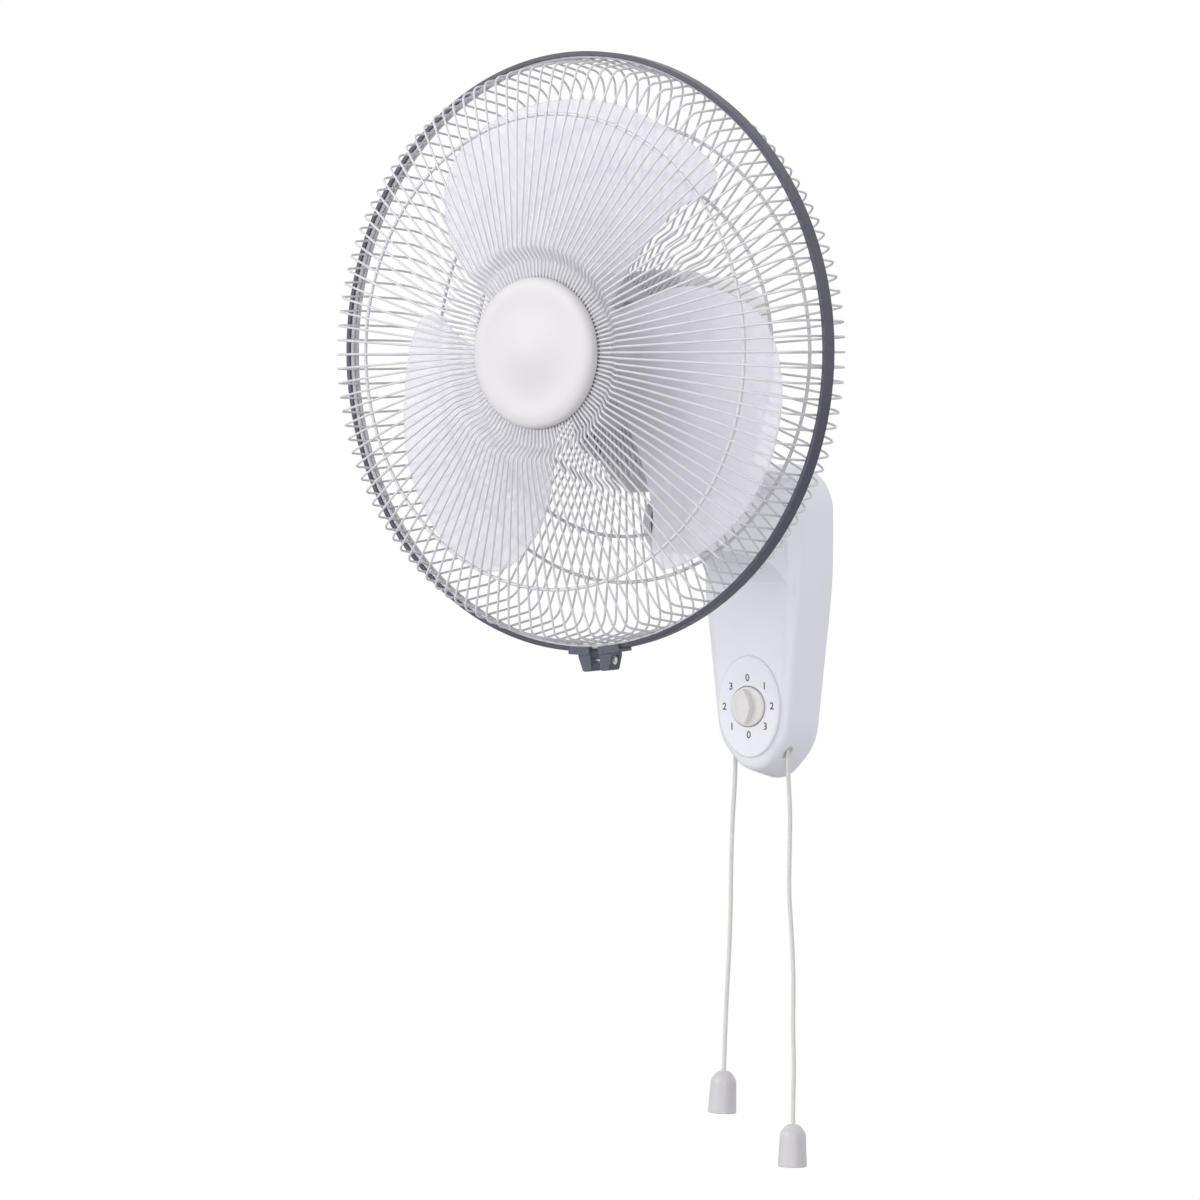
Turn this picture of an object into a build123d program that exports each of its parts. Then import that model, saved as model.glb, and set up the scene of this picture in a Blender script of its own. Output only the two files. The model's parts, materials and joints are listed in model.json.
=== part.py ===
from build123d import *
from math import cos, degrees, pi, radians, sin, tan
import os

os.makedirs("parts", exist_ok=True)

# Wall mounted fan. Millimetres. X runs to the right as seen from the room, Y runs into the
# wall (the wall plane is Y = 0, the room is at -Y), Z runs up. The origin is the centre of the
# four wall screws on the wall plane.

# ------------------------------------------------------------------ where the head sits
ring_standoff = 260.0        # wall to the centre of the guard ring
ring_height = 190.0          # centre of the guard ring above the wall screws' centre
rest_tilt = 4.2              # nod of the fan axis below level at rest, degrees

# ------------------------------------------------------------------ guard ring and wires
ring_radius = 220.0
ring_width = 11.5
ring_wall = 1.6
ring_lip = 1.9
ring_lip_thickness = 1.4
ring_seat = 0.1              # hoop to the ring's inner wall
hoop_wire = 3.4
hoop_offset = 2.3            # each hoop's centre from the ring plane
guard_wire = 1.7
wire_count = 120             # radial wires in each guard
weld = 0.2                   # how far welded wires sink into each other
brace_wire = 2.6             # the wires of the bracing rings

front_shoulder_inset = 11.0  # ring radius to the front guard's shoulder
front_shoulder = 31.5        # the shoulder ahead of the ring plane
front_shoulder_bend = 10.0
front_brace_inset = 47.1     # ring radius to the front brace
front_brace = 41.0           # the wires ahead of the ring plane at their brace
front_step_beyond = 23.0     # the crown's step outside the front cap
front_step = 61.3            # crown of the front guard
front_step_run = 9.5
front_centre = 52.4          # the flat wire ends under the cap
rear_shoulder_inset = 12.5
rear_shoulder = 43.5         # the rear guard's shoulder behind the ring plane
rear_shoulder_bend = 14.0
rear_step_beyond = 47.0      # the rear guard's step outside the front cap's radius
rear_step = 50.5
rear_step_run = 8.5
rear_centre = 38.0
rear_brace_insets = (49.0, 83.2)

# ------------------------------------------------------------------ guard clip
clip_angle = 1.6             # the joint of the ring lies this far right of its lowest point
clip_gap = 8.2               # between the two halves
sleeve_length = 19.0
sleeve_wall = 2.2
sleeve_seat = 0.1
lug_length = 11.0
lug_drop = 12.5
lug_depth = 13.6
lug_taper = 3.5
clip_screw = 3.8
clip_screw_drop = 7.0        # screw axis below the ring
clip_head_radius = 3.2
clip_nut_radius = 3.9
clip_nut_inset = 6.0         # lug face to the seat of the nut or the screw head

# ------------------------------------------------------------------ front cap
cap_radius = 55.0
cap_rim = 3.7
cap_dome = 7.0
cap_wall = 2.0
cap_post_radius = 4.0
cap_screw_radius = 1.55
retainer_thickness = 1.4
hub_plate_thickness = 1.2    # disc in the middle of the rear guard
hub_plate_holes = 7.0

# ------------------------------------------------------------------ propeller
blade_count = 3
blade_gap = 33.0             # blade tip to the ring's outside
blade_root = 4.0             # how far the blades reach into the hub
blade_lead = 28.0            # rearward travel of the blade's face per radian clockwise
blade_thickness = 2.4
hub_radius = 40.0
hub_front = 30.0             # ahead of the ring plane
hub_back = 12.0              # behind the ring plane
hub_wall = 2.6
hub_corner = 9.0
shaft_radius = 4.0
shaft_fit = 0.05
spinner_radius = 17.0
spinner_length = 15.0

# ------------------------------------------------------------------ motor
cover_front = 62.0           # faces behind the ring plane
cover_split = 100.0
cover_back = 197.0
cover_half_width = 57.0
cover_top = 61.0
cover_bottom = 80.0
rear_half_height = 56.0
cover_corner = 30.0
rear_corner = 38.0
cover_wall = 2.0
cover_gap = 0.3
rear_taper = 3.0             # draft of the rear cover, degrees
rear_round = 30.0
vent_width = 2.4
vent_length = 9.0
vent_centre = 12.0           # centre of the slot arcs below the fan axis
boss_radius = 15.5
stator_radius = 42.0
stator_start = 112.0
stator_length = 28.0
rotor_radius = 22.0
air_gap = 0.5
bracket_wall = 3.0
bracket_skirt = 10.0
winding_length = 11.0
tie_bolt_radius = 2.0
tie_ear = 5.0                # round ears of the end brackets, which take the tie bolts

# ------------------------------------------------------------------ neck and swing drive
pivot_behind = 122.9         # swing and tilt axes behind the ring plane
pivot_below = 129.3          # tilt axis below the fan axis
neck_bottom = 104.0          # lower edge of the neck housing below the fan axis
neck_wall = 2.2
turntable_radius = 25.5
turntable_thickness = 5.0
turntable_gap = 0.5
tongue_radius = 22.0
tongue_width = 27.0
pin_radius = 5.0
bush_wall = 2.0
yoke_boss = 10.0
yoke_top = 80.0              # heights below the fan axis
yoke_base = 97.8
yoke_plate = 5.0
yoke_half_width = 22.0
yoke_screw_x = 14.0
yoke_screw_below = 36.0
yoke_screw_radius = 2.0
yoke_web_rise = 5.8          # the yoke's web above its boss's foot
yoke_plate_top = 26.0        # upper edge of the yoke's back plate below the fan axis
yoke_port = 76.0             # length of the opening for the yoke in the rear cover
spacer_height = 4.0          # spacer between the yoke's boss and the drive arm
drive_arm_thickness = 2.0
pin_nut_height = 4.0
crank_distance = 31.0        # swing axis to crank axis
crank_throw = 18.0
crank_radius = 22.0
crank_thickness = 4.0
crank_pin = 2.5
slot_play = 1.8              # the crank pin's room in the drive arm's slot, each side
swing_motor_radius = 22.0
swing_motor_length = 14.0
crank_gap = 3.0              # drive arm to the crank disc
crank_stand = 4.0            # crank disc to the swing motor
running = 0.05               # radial clearance of a pin in its bush

# ------------------------------------------------------------------ base and arm
base_top = 122.4
base_bottom = -125.0
base_half_width = 52.7
base_wall = 2.5
side_depth = 34.0            # wall plane to the crease between side and bevel
panel_depth = 41.0           # wall plane to the front panel
side_inset = 6.5
panel_inset = 15.0
panel_slope = 2.4            # the front leans back towards the bottom, degrees
panel_bend = 10.0
crease_bend = 8.0            # rounding between side and bevel
top_bend = 40.0              # bends of the base's outline: top corners, sides, foot and tip
side_bend = 400.0
foot_bend = 43.0
tip_bend = 26.8
side_corner = 30.6           # heights of the outline's corners
foot_corner = (36.8, -98.7)
tip_corner = -136.7
arm_root_half_width = 37.0
arm_half_width = 23.0
arm_root_top = 108.0
arm_root_bottom = 36.0
fork_radius = 21.0
fork_slot = 32.2
post_places = [(36, 88), (-36, 88), (15.5, -97), (-15.5, -97)]
post_radius = 4.0
post_screw_radius = 1.5
bracket_thickness = 2.0
flange_half_width = 30.0
flange_top = 84.0
flange_bottom = 44.0
flange_screw_x = 48.0
flange_screw_z = 28.0
flange_screw_radius = 2.0
tilt_bolt_radius = 4.0
tilt_head_radius = 7.0
tilt_washer_radius = 12.0

# ------------------------------------------------------------------ wall plate and rear cover
plate_half_width = 34.0
plate_top = 104.0
plate_bottom = -78.0
plate_thickness = 2.0
wall_hole_x = 50.0
wall_hole_z = 120.0
wall_hole_radius = 2.5
hook_x = 20.0                # hooks of the wall plate, which carry the rear cover
hook_half_width = 5.0
hook_height = 96.0
hook_lip = 7.0
tab_half_width = 8.0         # tab at the foot of the wall plate, for the locking screw
tab_height = -104.0
lock_depth = 10.0            # wall plane to the locking screw
lock_radius = 2.0
lock_head_radius = 3.6
lock_head_above = 8.0        # head's upper face above the base's lowest point
rear_cover_behind = 6.0      # wall plane to the rear cover's back
rear_cover_thickness = 2.5
rear_cover_play = 0.4
inlet_radius = 4.0
inlet_height = -10.0
grommet_wall = 2.5

# ------------------------------------------------------------------ dial and switches
dial_height = -69.0
dial_half_width = 29.0
dial_half_height = 40.0
dial_raise = 2.6
dial_edge = 1.6              # rounding of the oval's rim
knob_radius = 15.5
knob_gap = 0.8
knob_recess = 3.0
knob_rise = 2.2
grip_height = 5.5
grip_half_width = 6.5
spindle_radius = 3.0
switch_half = 17.0
switch_depth = 17.0
wheel_radius = 15.0
wheel_teeth = 16

# ------------------------------------------------------------------ pull cords
cord_x = 24.5
cord_depth = 22.0            # wall plane to the cords
cord_diameter = 3.6
eyelet_bore = 2.4
eyelet_wall = 1.8
eyelet_sunk = 0.5            # the eyelets' ends lie this far inside the underside
eyelet_top = -94.0
slider_bottom = -74.0
slider_length = 14.0
slider_half_width = 3.2
pull_height = 33.0
pull_crown = 2.8             # radius of the flat where the cord goes in
pull_dome = 9.0              # from the crown down to the shoulder
pull_shoulder = 10.2
pull_mouth = 11.3
pull_edge = 0.5
pull_wall = 2.4
pull_recess = 3.0            # depth of the hollow in the mouth
cord_in_pull = 6.0
pull_lean = 3.5

stand = (Align.CENTER, Align.CENTER, Align.MIN)
hang = (Align.CENTER, Align.CENTER, Align.MAX)

# ------------------------------------------------------------------ frames of reference
forward = Vector(0, -cos(radians(rest_tilt)), -sin(radians(rest_tilt)))
upward = Vector(0, -sin(radians(rest_tilt)), cos(radians(rest_tilt)))
right = Vector(1, 0, 0)
ring_centre = Vector(0, -ring_standoff, ring_height)
fan_axis = Axis(ring_centre, forward)
tilt_pivot = ring_centre - forward * pivot_behind - upward * pivot_below


def face_at(ahead):
    """A plane square to the fan axis, facing the room: x right, y up."""
    return Plane(origin=ring_centre + forward * ahead, x_dir=right, z_dir=forward)


def back_at(behind):
    """A plane square to the fan axis, facing the wall: x right, y down."""
    return Plane(origin=ring_centre - forward * behind, x_dir=right, z_dir=-forward)


def deck_at(behind, below):
    """A plane level with the fan head, facing up: x right, y to the wall."""
    return Plane(origin=ring_centre - forward * behind - upward * below, x_dir=right, z_dir=upward)


def meridian_at(clock):
    """A half plane through the fan axis: x outward, y forward; clock is degrees from 12."""
    out = upward * cos(radians(clock)) + right * sin(radians(clock))
    return Plane(origin=ring_centre, x_dir=out, z_dir=out.cross(forward))


def front_view(depth, slope=0.0):
    """A plane seen from the room: x right, y up, depth ahead of the wall."""
    lean = radians(slope)
    return Plane(origin=(0, -depth, 0), x_dir=(1, 0, 0), z_dir=(0, -cos(lean), -sin(lean)))


side_view = Plane(origin=(0, 0, 0), x_dir=(0, 1, 0), z_dir=(1, 0, 0))


# ================================================================== guards
def wire_along(points, bends, span_starts):
    """One guard wire standing in the XZ plane, z along the fan axis, in nearly straight spans."""
    with BuildPart():
        with BuildLine(Plane.XZ) as path:
            FilletPolyline(*points, radius=bends)
        runs = Wire(path.line.edges()).order_edges()
        spans = []
        for start, end in zip([0] + span_starts, span_starts + [len(runs)]):
            span = Wire(runs[start:end])
            with BuildSketch(Plane(origin=span @ 0, z_dir=span % 0)) as section:
                Circle(guard_wire / 2)
            spans.append(sweep(section.sketch, path=span, mode=Mode.PRIVATE))
    return spans


front_brace_radius = ring_radius - front_brace_inset
front_step_radius = cap_radius + front_step_beyond
rear_step_radius = cap_radius + rear_step_beyond
hoop_radius = ring_radius - ring_wall - ring_seat - hoop_wire / 2
wire_start = hoop_radius - (hoop_wire + guard_wire) / 2 + weld
wire_tip = hoop_offset - hoop_wire / 2

front_wire = wire_along(
    [
        (wire_start, wire_tip),
        (ring_radius - front_shoulder_inset, front_shoulder),
        (front_brace_radius, front_brace),
        (front_step_radius, front_step),
        (front_step_radius - front_step_run, front_centre),
        (cap_radius - 2, front_centre),
    ],
    [front_shoulder_bend, 300, 5, 4],
    [2, 5],
)
with BuildPart(face_at(0)) as front_wires:
    with PolarLocations(0, wire_count):
        add(front_wire, mode=Mode.REPLACE)
front_wires.part.label = "front_wires"
export_step(front_wires.part, "parts/front_wires.step")

rear_wire = wire_along(
    [
        (wire_start, wire_tip),
        (ring_radius - rear_shoulder_inset, rear_shoulder),
        (rear_step_radius, rear_step),
        (rear_step_radius - rear_step_run, rear_centre),
        (cap_radius + 1, rear_centre),
    ],
    [rear_shoulder_bend, 5, 4],
    [2, 3],
)
with BuildPart(back_at(0)) as rear_wires:
    with PolarLocations(0, wire_count):
        add(rear_wire, mode=Mode.REPLACE)
rear_wires.part.label = "rear_wires"
export_step(rear_wires.part, "parts/rear_wires.step")

# the thick hoop and the bracing ring of the front guard, the ring inside the wires
with BuildPart() as front_rings:
    with BuildSketch(meridian_at(0)):
        with Locations((hoop_radius, hoop_offset)):
            Circle(hoop_wire / 2)
        with Locations((front_brace_radius, front_brace - (guard_wire + brace_wire) / 2 + weld)):
            Circle(brace_wire / 2)
    revolve(axis=fan_axis)
front_rings.part.label = "front_rings"
export_step(front_rings.part, "parts/front_rings.step")

# the rear guard's hoop and its two bracing rings, which lie outside the wires
rear_slope = (rear_step - rear_shoulder) / (ring_radius - rear_shoulder_inset - rear_step_radius)
with BuildPart() as rear_rings:
    with BuildSketch(meridian_at(0)):
        with Locations((hoop_radius, -hoop_offset)):
            Circle(hoop_wire / 2)
        for brace in [ring_radius - inset for inset in rear_brace_insets]:
            wire_behind = rear_step - rear_slope * (brace - rear_step_radius)
            with Locations((brace, -wire_behind - (guard_wire + brace_wire) / 2 + weld)):
                Circle(brace_wire / 2)
    revolve(axis=fan_axis)
rear_rings.part.label = "rear_rings"
export_step(rear_rings.part, "parts/rear_rings.step")

# the disc at the middle of the rear guard, which the motor's nut clamps
plate_front = rear_centre + guard_wire / 2 - weld / 2
with BuildPart(back_at(plate_front)) as guard_hub_plate:
    Cylinder(cap_radius + 5, hub_plate_thickness, align=stand)
    Hole(boss_radius + running)
    with PolarLocations(cap_radius / 2 + 8, 6):
        Hole(hub_plate_holes)
guard_hub_plate.part.label = "guard_hub_plate"
export_step(guard_hub_plate.part, "parts/guard_hub_plate.step")

# ================================================================== ring and clip
clip_clock = 180 - clip_angle
gap_turn = degrees(clip_gap / ring_radius)
half_width = ring_width / 2
inner_wall = ring_radius - ring_wall
lip_radius = inner_wall - ring_lip
with BuildPart() as guard_ring:
    with BuildSketch(meridian_at(clip_clock - gap_turn / 2)):
        with BuildLine():
            Polyline(
                (lip_radius, -half_width),
                (ring_radius, -half_width),
                (ring_radius, half_width),
                (lip_radius, half_width),
                (lip_radius, half_width - ring_lip_thickness),
                (inner_wall, half_width - ring_lip_thickness),
                (inner_wall, ring_lip_thickness - half_width),
                (lip_radius, ring_lip_thickness - half_width),
                close=True,
            )
        make_face()
        fillet(vertices().sort_by(Axis.Y)[:2] + vertices().sort_by(Axis.Y)[-2:], 0.6)
    revolve(axis=fan_axis, revolution_arc=360 - gap_turn)
guard_ring.part.label = "guard_ring"
export_step(guard_ring.part, "parts/guard_ring.step")


def clip_half(side):
    """One moulded half of the clip; side is +1 for the right half and -1 for the left."""
    sleeve_turn = degrees(sleeve_length / ring_radius)
    start = clip_clock - side * gap_turn / 2 + (0 if side > 0 else sleeve_turn)
    seat = sleeve_seat + sleeve_wall
    out = upward * cos(radians(clip_clock)) + right * sin(radians(clip_clock))
    tangent = out.cross(forward) * -1
    lug_view = Plane(origin=ring_centre, x_dir=tangent, z_dir=forward)
    with BuildPart() as half:
        with BuildSketch(meridian_at(start)):
            with BuildLine():
                Polyline(
                    (lip_radius, -half_width - seat),
                    (ring_radius + seat, -half_width - seat),
                    (ring_radius + seat, half_width + seat),
                    (lip_radius, half_width + seat),
                    (lip_radius, half_width + sleeve_seat),
                    (ring_radius + sleeve_seat, half_width + sleeve_seat),
                    (ring_radius + sleeve_seat, -half_width - sleeve_seat),
                    (lip_radius, -half_width - sleeve_seat),
                    close=True,
                )
            make_face()
        revolve(axis=fan_axis, revolution_arc=sleeve_turn)
        near = clip_gap / 2
        top = ring_radius + sleeve_seat + 0.8
        foot = ring_radius + seat + lug_drop
        with BuildSketch(lug_view):
            with BuildLine():
                Polyline(
                    (side * near, -top),
                    (side * (near + lug_length), -top),
                    (side * (near + lug_length), -top - 3),
                    (side * (near + lug_length - lug_taper), -foot),
                    (side * near, -foot),
                    close=True,
                )
            make_face()
        extrude(amount=lug_depth / 2, both=True)
        lug_edges = part_edges_near(half, foot)
        fillet(lug_edges, 2.2)
        hole_plane = Plane(
            origin=ring_centre + out * (ring_radius + clip_screw_drop) + tangent * side * near,
            z_dir=tangent * -side,
        )
        with BuildSketch(hole_plane):
            Circle(clip_screw / 2 + running)
        extrude(amount=-lug_length, mode=Mode.SUBTRACT)
        with BuildSketch(hole_plane.offset(-clip_nut_inset)):
            RegularPolygon(clip_nut_radius + sleeve_seat, 6)
        extrude(amount=-lug_length, mode=Mode.SUBTRACT)
    return half


def part_edges_near(half, foot):
    """The two long edges at the foot of a lug, across the ring."""
    low = half.part.edges().filter_by(lambda e: abs((e.center() - ring_centre).dot(upward) + foot) < 1)
    return low.filter_by(lambda e: abs((e % 0.5).dot(forward)) > 0.9)


clip_right = clip_half(1)
clip_right.part.label = "clip_right"
export_step(clip_right.part, "parts/clip_right.step")
clip_left = clip_half(-1)
clip_left.part.label = "clip_left"
export_step(clip_left.part, "parts/clip_left.step")

clip_out = upward * cos(radians(clip_clock)) + right * sin(radians(clip_clock))
clip_tangent = clip_out.cross(forward) * -1
clip_origin = ring_centre + clip_out * (ring_radius + clip_screw_drop)
nut_seat = clip_gap / 2 + clip_nut_inset
clip_screw_plane = Plane(origin=clip_origin - clip_tangent * nut_seat, z_dir=clip_tangent)
with BuildPart(clip_screw_plane) as clip_fastener:
    Cylinder(clip_screw / 2, 2 * nut_seat + 4, align=stand)
    Cylinder(clip_head_radius, 2.4, align=hang)
    # its nut in the right half
    with BuildSketch(Plane(origin=clip_origin + clip_tangent * nut_seat, z_dir=clip_tangent)):
        RegularPolygon(clip_nut_radius, 6)
        Circle(clip_screw / 2 + running, mode=Mode.SUBTRACT)
    extrude(amount=3)
clip_fastener.part.label = "clip_screw"
export_step(clip_fastener.part, "parts/clip_screw.step")

# ================================================================== front cap
cap_seat = front_centre + guard_wire / 2
with BuildPart() as front_cap:
    with BuildSketch(meridian_at(0)):
        with BuildLine():
            Line((0, cap_seat + cap_rim + cap_dome), (0, cap_seat + cap_rim + cap_dome - cap_wall))
            Spline(
                (0, cap_seat + cap_rim + cap_dome - cap_wall),
                (cap_radius * 0.7, cap_seat + cap_rim + cap_dome * 0.45 - cap_wall),
                (cap_radius - cap_wall, cap_seat),
                tangents=((1, 0), (0.1, -1)),
            )
            Line((cap_radius - cap_wall, cap_seat), (cap_radius, cap_seat))
            Line((cap_radius, cap_seat), (cap_radius, cap_seat + cap_rim - 1))
            Spline(
                (cap_radius, cap_seat + cap_rim - 1),
                (cap_radius * 0.7, cap_seat + cap_rim + cap_dome * 0.55),
                (0, cap_seat + cap_rim + cap_dome),
                tangents=((-0.2, 1), (-1, 0)),
            )
        make_face()
    revolve(axis=fan_axis)
    with BuildSketch(face_at(cap_seat)):
        Circle(cap_post_radius)
    extrude(amount=cap_rim + cap_dome - cap_wall / 2)
    with BuildSketch(face_at(cap_seat)):
        Circle(cap_screw_radius + running)
    extrude(amount=cap_rim + 2, mode=Mode.SUBTRACT)
front_cap.part.label = "front_cap"
export_step(front_cap.part, "parts/front_cap.step")

retainer_face = front_centre - guard_wire / 2 + weld / 4
with BuildPart(face_at(retainer_face - retainer_thickness)) as cap_retainer:
    Cylinder(cap_radius + 1, retainer_thickness, align=stand)
    Hole(cap_screw_radius + 3 * running)
cap_retainer.part.label = "cap_retainer"
export_step(cap_retainer.part, "parts/cap_retainer.step")

with BuildPart(face_at(retainer_face - retainer_thickness - 0.05)) as cap_screw:
    Cylinder(2 * cap_screw_radius, 2, align=hang)
    Cylinder(cap_screw_radius, cap_seat + cap_rim - retainer_face + retainer_thickness, align=stand)
cap_screw.part.label = "cap_screw"
export_step(cap_screw.part, "parts/cap_screw.step")

# ================================================================== propeller
# one blade seen from the front: share of its length from root to tip, and degrees clockwise
# from the blade's centre line
blade_outline = [
    (0, -58), (0.159, -55), (0.325, -53), (0.556, -50), (0.755, -43.5), (0.907, -36),
    (0.98, -26), (1, -8), (0.977, 11), (0.934, 26), (0.901, 39), (0.868, 43), (0.808, 44),
    (0.656, 40), (0.457, 35.5), (0.258, 32), (0, 28),
]
surface_start = 66.0         # the twisted surface runs this far each way, degrees


def on_front(radius, clock):
    """A point of the front view, clock in degrees clockwise from 12."""
    return (radius * sin(radians(clock)), radius * cos(radians(clock)))


blade_start = hub_radius - blade_root
blade_tip = ring_radius - blade_gap
blade_climb = 2 * blade_lead * radians(surface_start)
blade_pitch = 2 * pi * blade_lead
inner_helix = Helix(blade_pitch, blade_climb, blade_start - 6)
outer_helix = Helix(blade_pitch, blade_climb, blade_tip + 9)
twisted = Face.make_surface_from_curves(inner_helix, outer_helix)
twisted = Pos(0, 0, -blade_climb / 2) * Rot(0, 0, 90 - surface_start) * twisted

with BuildPart() as one_blade:
    thicken(twisted, amount=blade_thickness / 2, both=True)
    with BuildSketch(Plane.XY.offset(-blade_climb)):
        with BuildLine():
            edge = [
                on_front(blade_start + share * (blade_tip - blade_start), clock)
                for share, clock in blade_outline
            ]
            Spline(*edge)
            Line(edge[-1], edge[0])
        make_face()
    extrude(amount=2 * blade_climb, mode=Mode.INTERSECT)

with BuildPart(face_at(0)) as propeller:
    with Locations((0, 0, -hub_back)):
        Cylinder(hub_radius, hub_back + hub_front, align=stand)
    fillet(propeller.edges().sort_by(Axis.Y)[0], hub_corner)
    with PolarLocations(0, blade_count):
        add(one_blade.part)
    with Locations((0, 0, -hub_back)):
        Cylinder(hub_radius - hub_wall, hub_back + hub_front - 8, align=stand, mode=Mode.SUBTRACT)
        Cylinder(9, hub_back + hub_front - 6, align=stand)
    Hole(shaft_radius + shaft_fit, depth=400)
propeller.part.label = "propeller"
export_step(propeller.part, "parts/propeller.step")

with BuildPart(face_at(hub_front + 0.05)) as spinner_nut:
    Cylinder(spinner_radius, spinner_length, align=stand)
    fillet(spinner_nut.edges().sort_by(Axis.Y)[0], 5)
    with PolarLocations(spinner_radius, 8):
        Cylinder(2.2, spinner_length, align=stand, mode=Mode.SUBTRACT)
    with BuildSketch(face_at(hub_front)):
        Circle(shaft_radius + shaft_fit)
    extrude(amount=spinner_length - 3, mode=Mode.SUBTRACT)
spinner_nut.part.label = "spinner_nut"
export_step(spinner_nut.part, "parts/spinner_nut.step")

# ================================================================== motor
stator_end = stator_start + stator_length
bracket_front = stator_start - winding_length - bracket_wall - 12
bracket_back = stator_end + winding_length + bracket_wall + 4
shaft_back = bracket_back + 18
bush_outer = shaft_radius + bush_wall

with BuildPart(face_at(-shaft_back)) as motor_shaft:
    Cylinder(shaft_radius, shaft_back + hub_front + spinner_length - 4, align=stand)
    chamfer(motor_shaft.edges().filter_by(GeomType.CIRCLE), 0.5)
motor_shaft.part.label = "motor_shaft"
export_step(motor_shaft.part, "parts/motor_shaft.step")

with BuildPart(face_at(-stator_end)) as rotor_core:
    Cylinder(rotor_radius, stator_length, align=stand)
    Hole(shaft_radius + shaft_fit)
rotor_core.part.label = "rotor_core"
export_step(rotor_core.part, "parts/rotor_core.step")

with BuildPart(face_at(-stator_end)) as stator_stack:
    Cylinder(stator_radius, stator_length, align=stand)
    Hole(rotor_radius + air_gap)
    with PolarLocations(rotor_radius + 8, 16):
        Cylinder(2.6, stator_length, align=stand, mode=Mode.SUBTRACT)
stator_stack.part.label = "stator_stack"
export_step(stator_stack.part, "parts/stator_stack.step")

with BuildPart() as motor_windings:
    with BuildSketch(meridian_at(0)):
        for middle in (stator_start - winding_length / 2, stator_end + winding_length / 2):
            with Locations((rotor_radius + 9, -middle)):
                RectangleRounded(12, winding_length - 0.2, 3)
    revolve(axis=fan_axis)
motor_windings.part.label = "motor_windings"
export_step(motor_windings.part, "parts/motor_windings.step")

bracket_outer = stator_radius + bracket_wall
tie_circle = bracket_outer + 2
with BuildPart() as front_bracket:
    with BuildSketch(meridian_at(0)):
        with BuildLine():
            Polyline(
                (bush_outer, -rear_centre + 7),
                (boss_radius, -rear_centre + 7),
                (boss_radius, -cover_front),
                (boss_radius + 4, -cover_front),
                (boss_radius + 8, -bracket_front),
                (bracket_outer, -bracket_front),
                (bracket_outer, -stator_start - bracket_skirt),
                (stator_radius + running, -stator_start - bracket_skirt),
                (stator_radius + running, -bracket_front - bracket_wall),
                (bush_outer, -bracket_front - bracket_wall),
                close=True,
            )
        make_face()
    revolve(axis=fan_axis)
    with BuildSketch(face_at(-bracket_front)):
        with PolarLocations(tie_circle, 4, start_angle=45):
            Circle(tie_ear)
    extrude(amount=-bracket_wall)
    with BuildSketch(face_at(-bracket_front)):
        with PolarLocations(tie_circle, 4, start_angle=45):
            Circle(tie_bolt_radius + 2 * running)
    extrude(amount=-bracket_wall - 1, mode=Mode.SUBTRACT)
front_bracket.part.label = "motor_front_bracket"
export_step(front_bracket.part, "parts/motor_front_bracket.step")

yoke_screw_places = [(yoke_screw_x, -yoke_screw_below), (-yoke_screw_x, -yoke_screw_below)]
with BuildPart() as rear_bracket:
    with BuildSketch(meridian_at(0)):
        with BuildLine():
            Polyline(
                (bush_outer, -bracket_back - 9),
                (boss_radius - 3, -bracket_back - 9),
                (boss_radius - 3, -bracket_back),
                (bracket_outer, -bracket_back),
                (bracket_outer, -stator_end + bracket_skirt),
                (stator_radius + running, -stator_end + bracket_skirt),
                (stator_radius + running, -bracket_back + bracket_wall),
                (bush_outer, -bracket_back + bracket_wall),
                close=True,
            )
        make_face()
    revolve(axis=fan_axis)
    with BuildSketch(face_at(-bracket_back)):
        with PolarLocations(tie_circle, 4, start_angle=45):
            Circle(tie_ear)
    extrude(amount=bracket_wall)
    with BuildSketch(face_at(-bracket_back)):
        with PolarLocations(tie_circle, 4, start_angle=45):
            Circle(tie_bolt_radius + 2 * running)
        with Locations(*yoke_screw_places):
            Circle(yoke_screw_radius + 2 * running)
    extrude(amount=bracket_wall + 1, mode=Mode.SUBTRACT)
rear_bracket.part.label = "motor_rear_bracket"
export_step(rear_bracket.part, "parts/motor_rear_bracket.step")

with BuildPart() as motor_bushes:
    with BuildSketch(meridian_at(0)):
        for start, end in ((rear_centre + 4, rear_centre + 20), (bracket_back - 8, bracket_back + 8)):
            with Locations((shaft_radius + running, -end)):
                Rectangle(bush_wall - 0.1, end - start, align=(Align.MIN, Align.MIN))
    revolve(axis=fan_axis)
motor_bushes.part.label = "motor_bushes"
export_step(motor_bushes.part, "parts/motor_bushes.step")

tie_start = bracket_front - 0.05
tie_end = bracket_back + 0.05
with BuildPart(face_at(-tie_end)) as tie_bolts:
    with PolarLocations(tie_circle, 4, start_angle=45):
        Cylinder(tie_bolt_radius, tie_end - tie_start, align=stand)
        Cylinder(1.8 * tie_bolt_radius, 3, align=hang)
    with BuildSketch(face_at(-tie_start)):
        with PolarLocations(tie_circle, 4, start_angle=45):
            Circle(1.8 * tie_bolt_radius)
    extrude(amount=2.6)
tie_bolts.part.label = "motor_tie_bolts"
export_step(tie_bolts.part, "parts/motor_tie_bolts.step")

with BuildPart() as guard_nut:
    with BuildSketch(face_at(-plate_front + 0.05)):
        RegularPolygon(24, 6)
        Circle(boss_radius + running, mode=Mode.SUBTRACT)
    extrude(amount=6)
guard_nut.part.label = "guard_nut"
export_step(guard_nut.part, "parts/guard_nut.step")


# ------------------------------------------------------------------ motor covers
def cover_face(shrink, below):
    """Rounded rectangle of the motor covers, shrunk by a wall, reaching below the axis."""
    height = cover_top + below - 2 * shrink
    with Locations((0, (cover_top - below) / 2)):
        RectangleRounded(2 * (cover_half_width - shrink), height, cover_corner - shrink)


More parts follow.
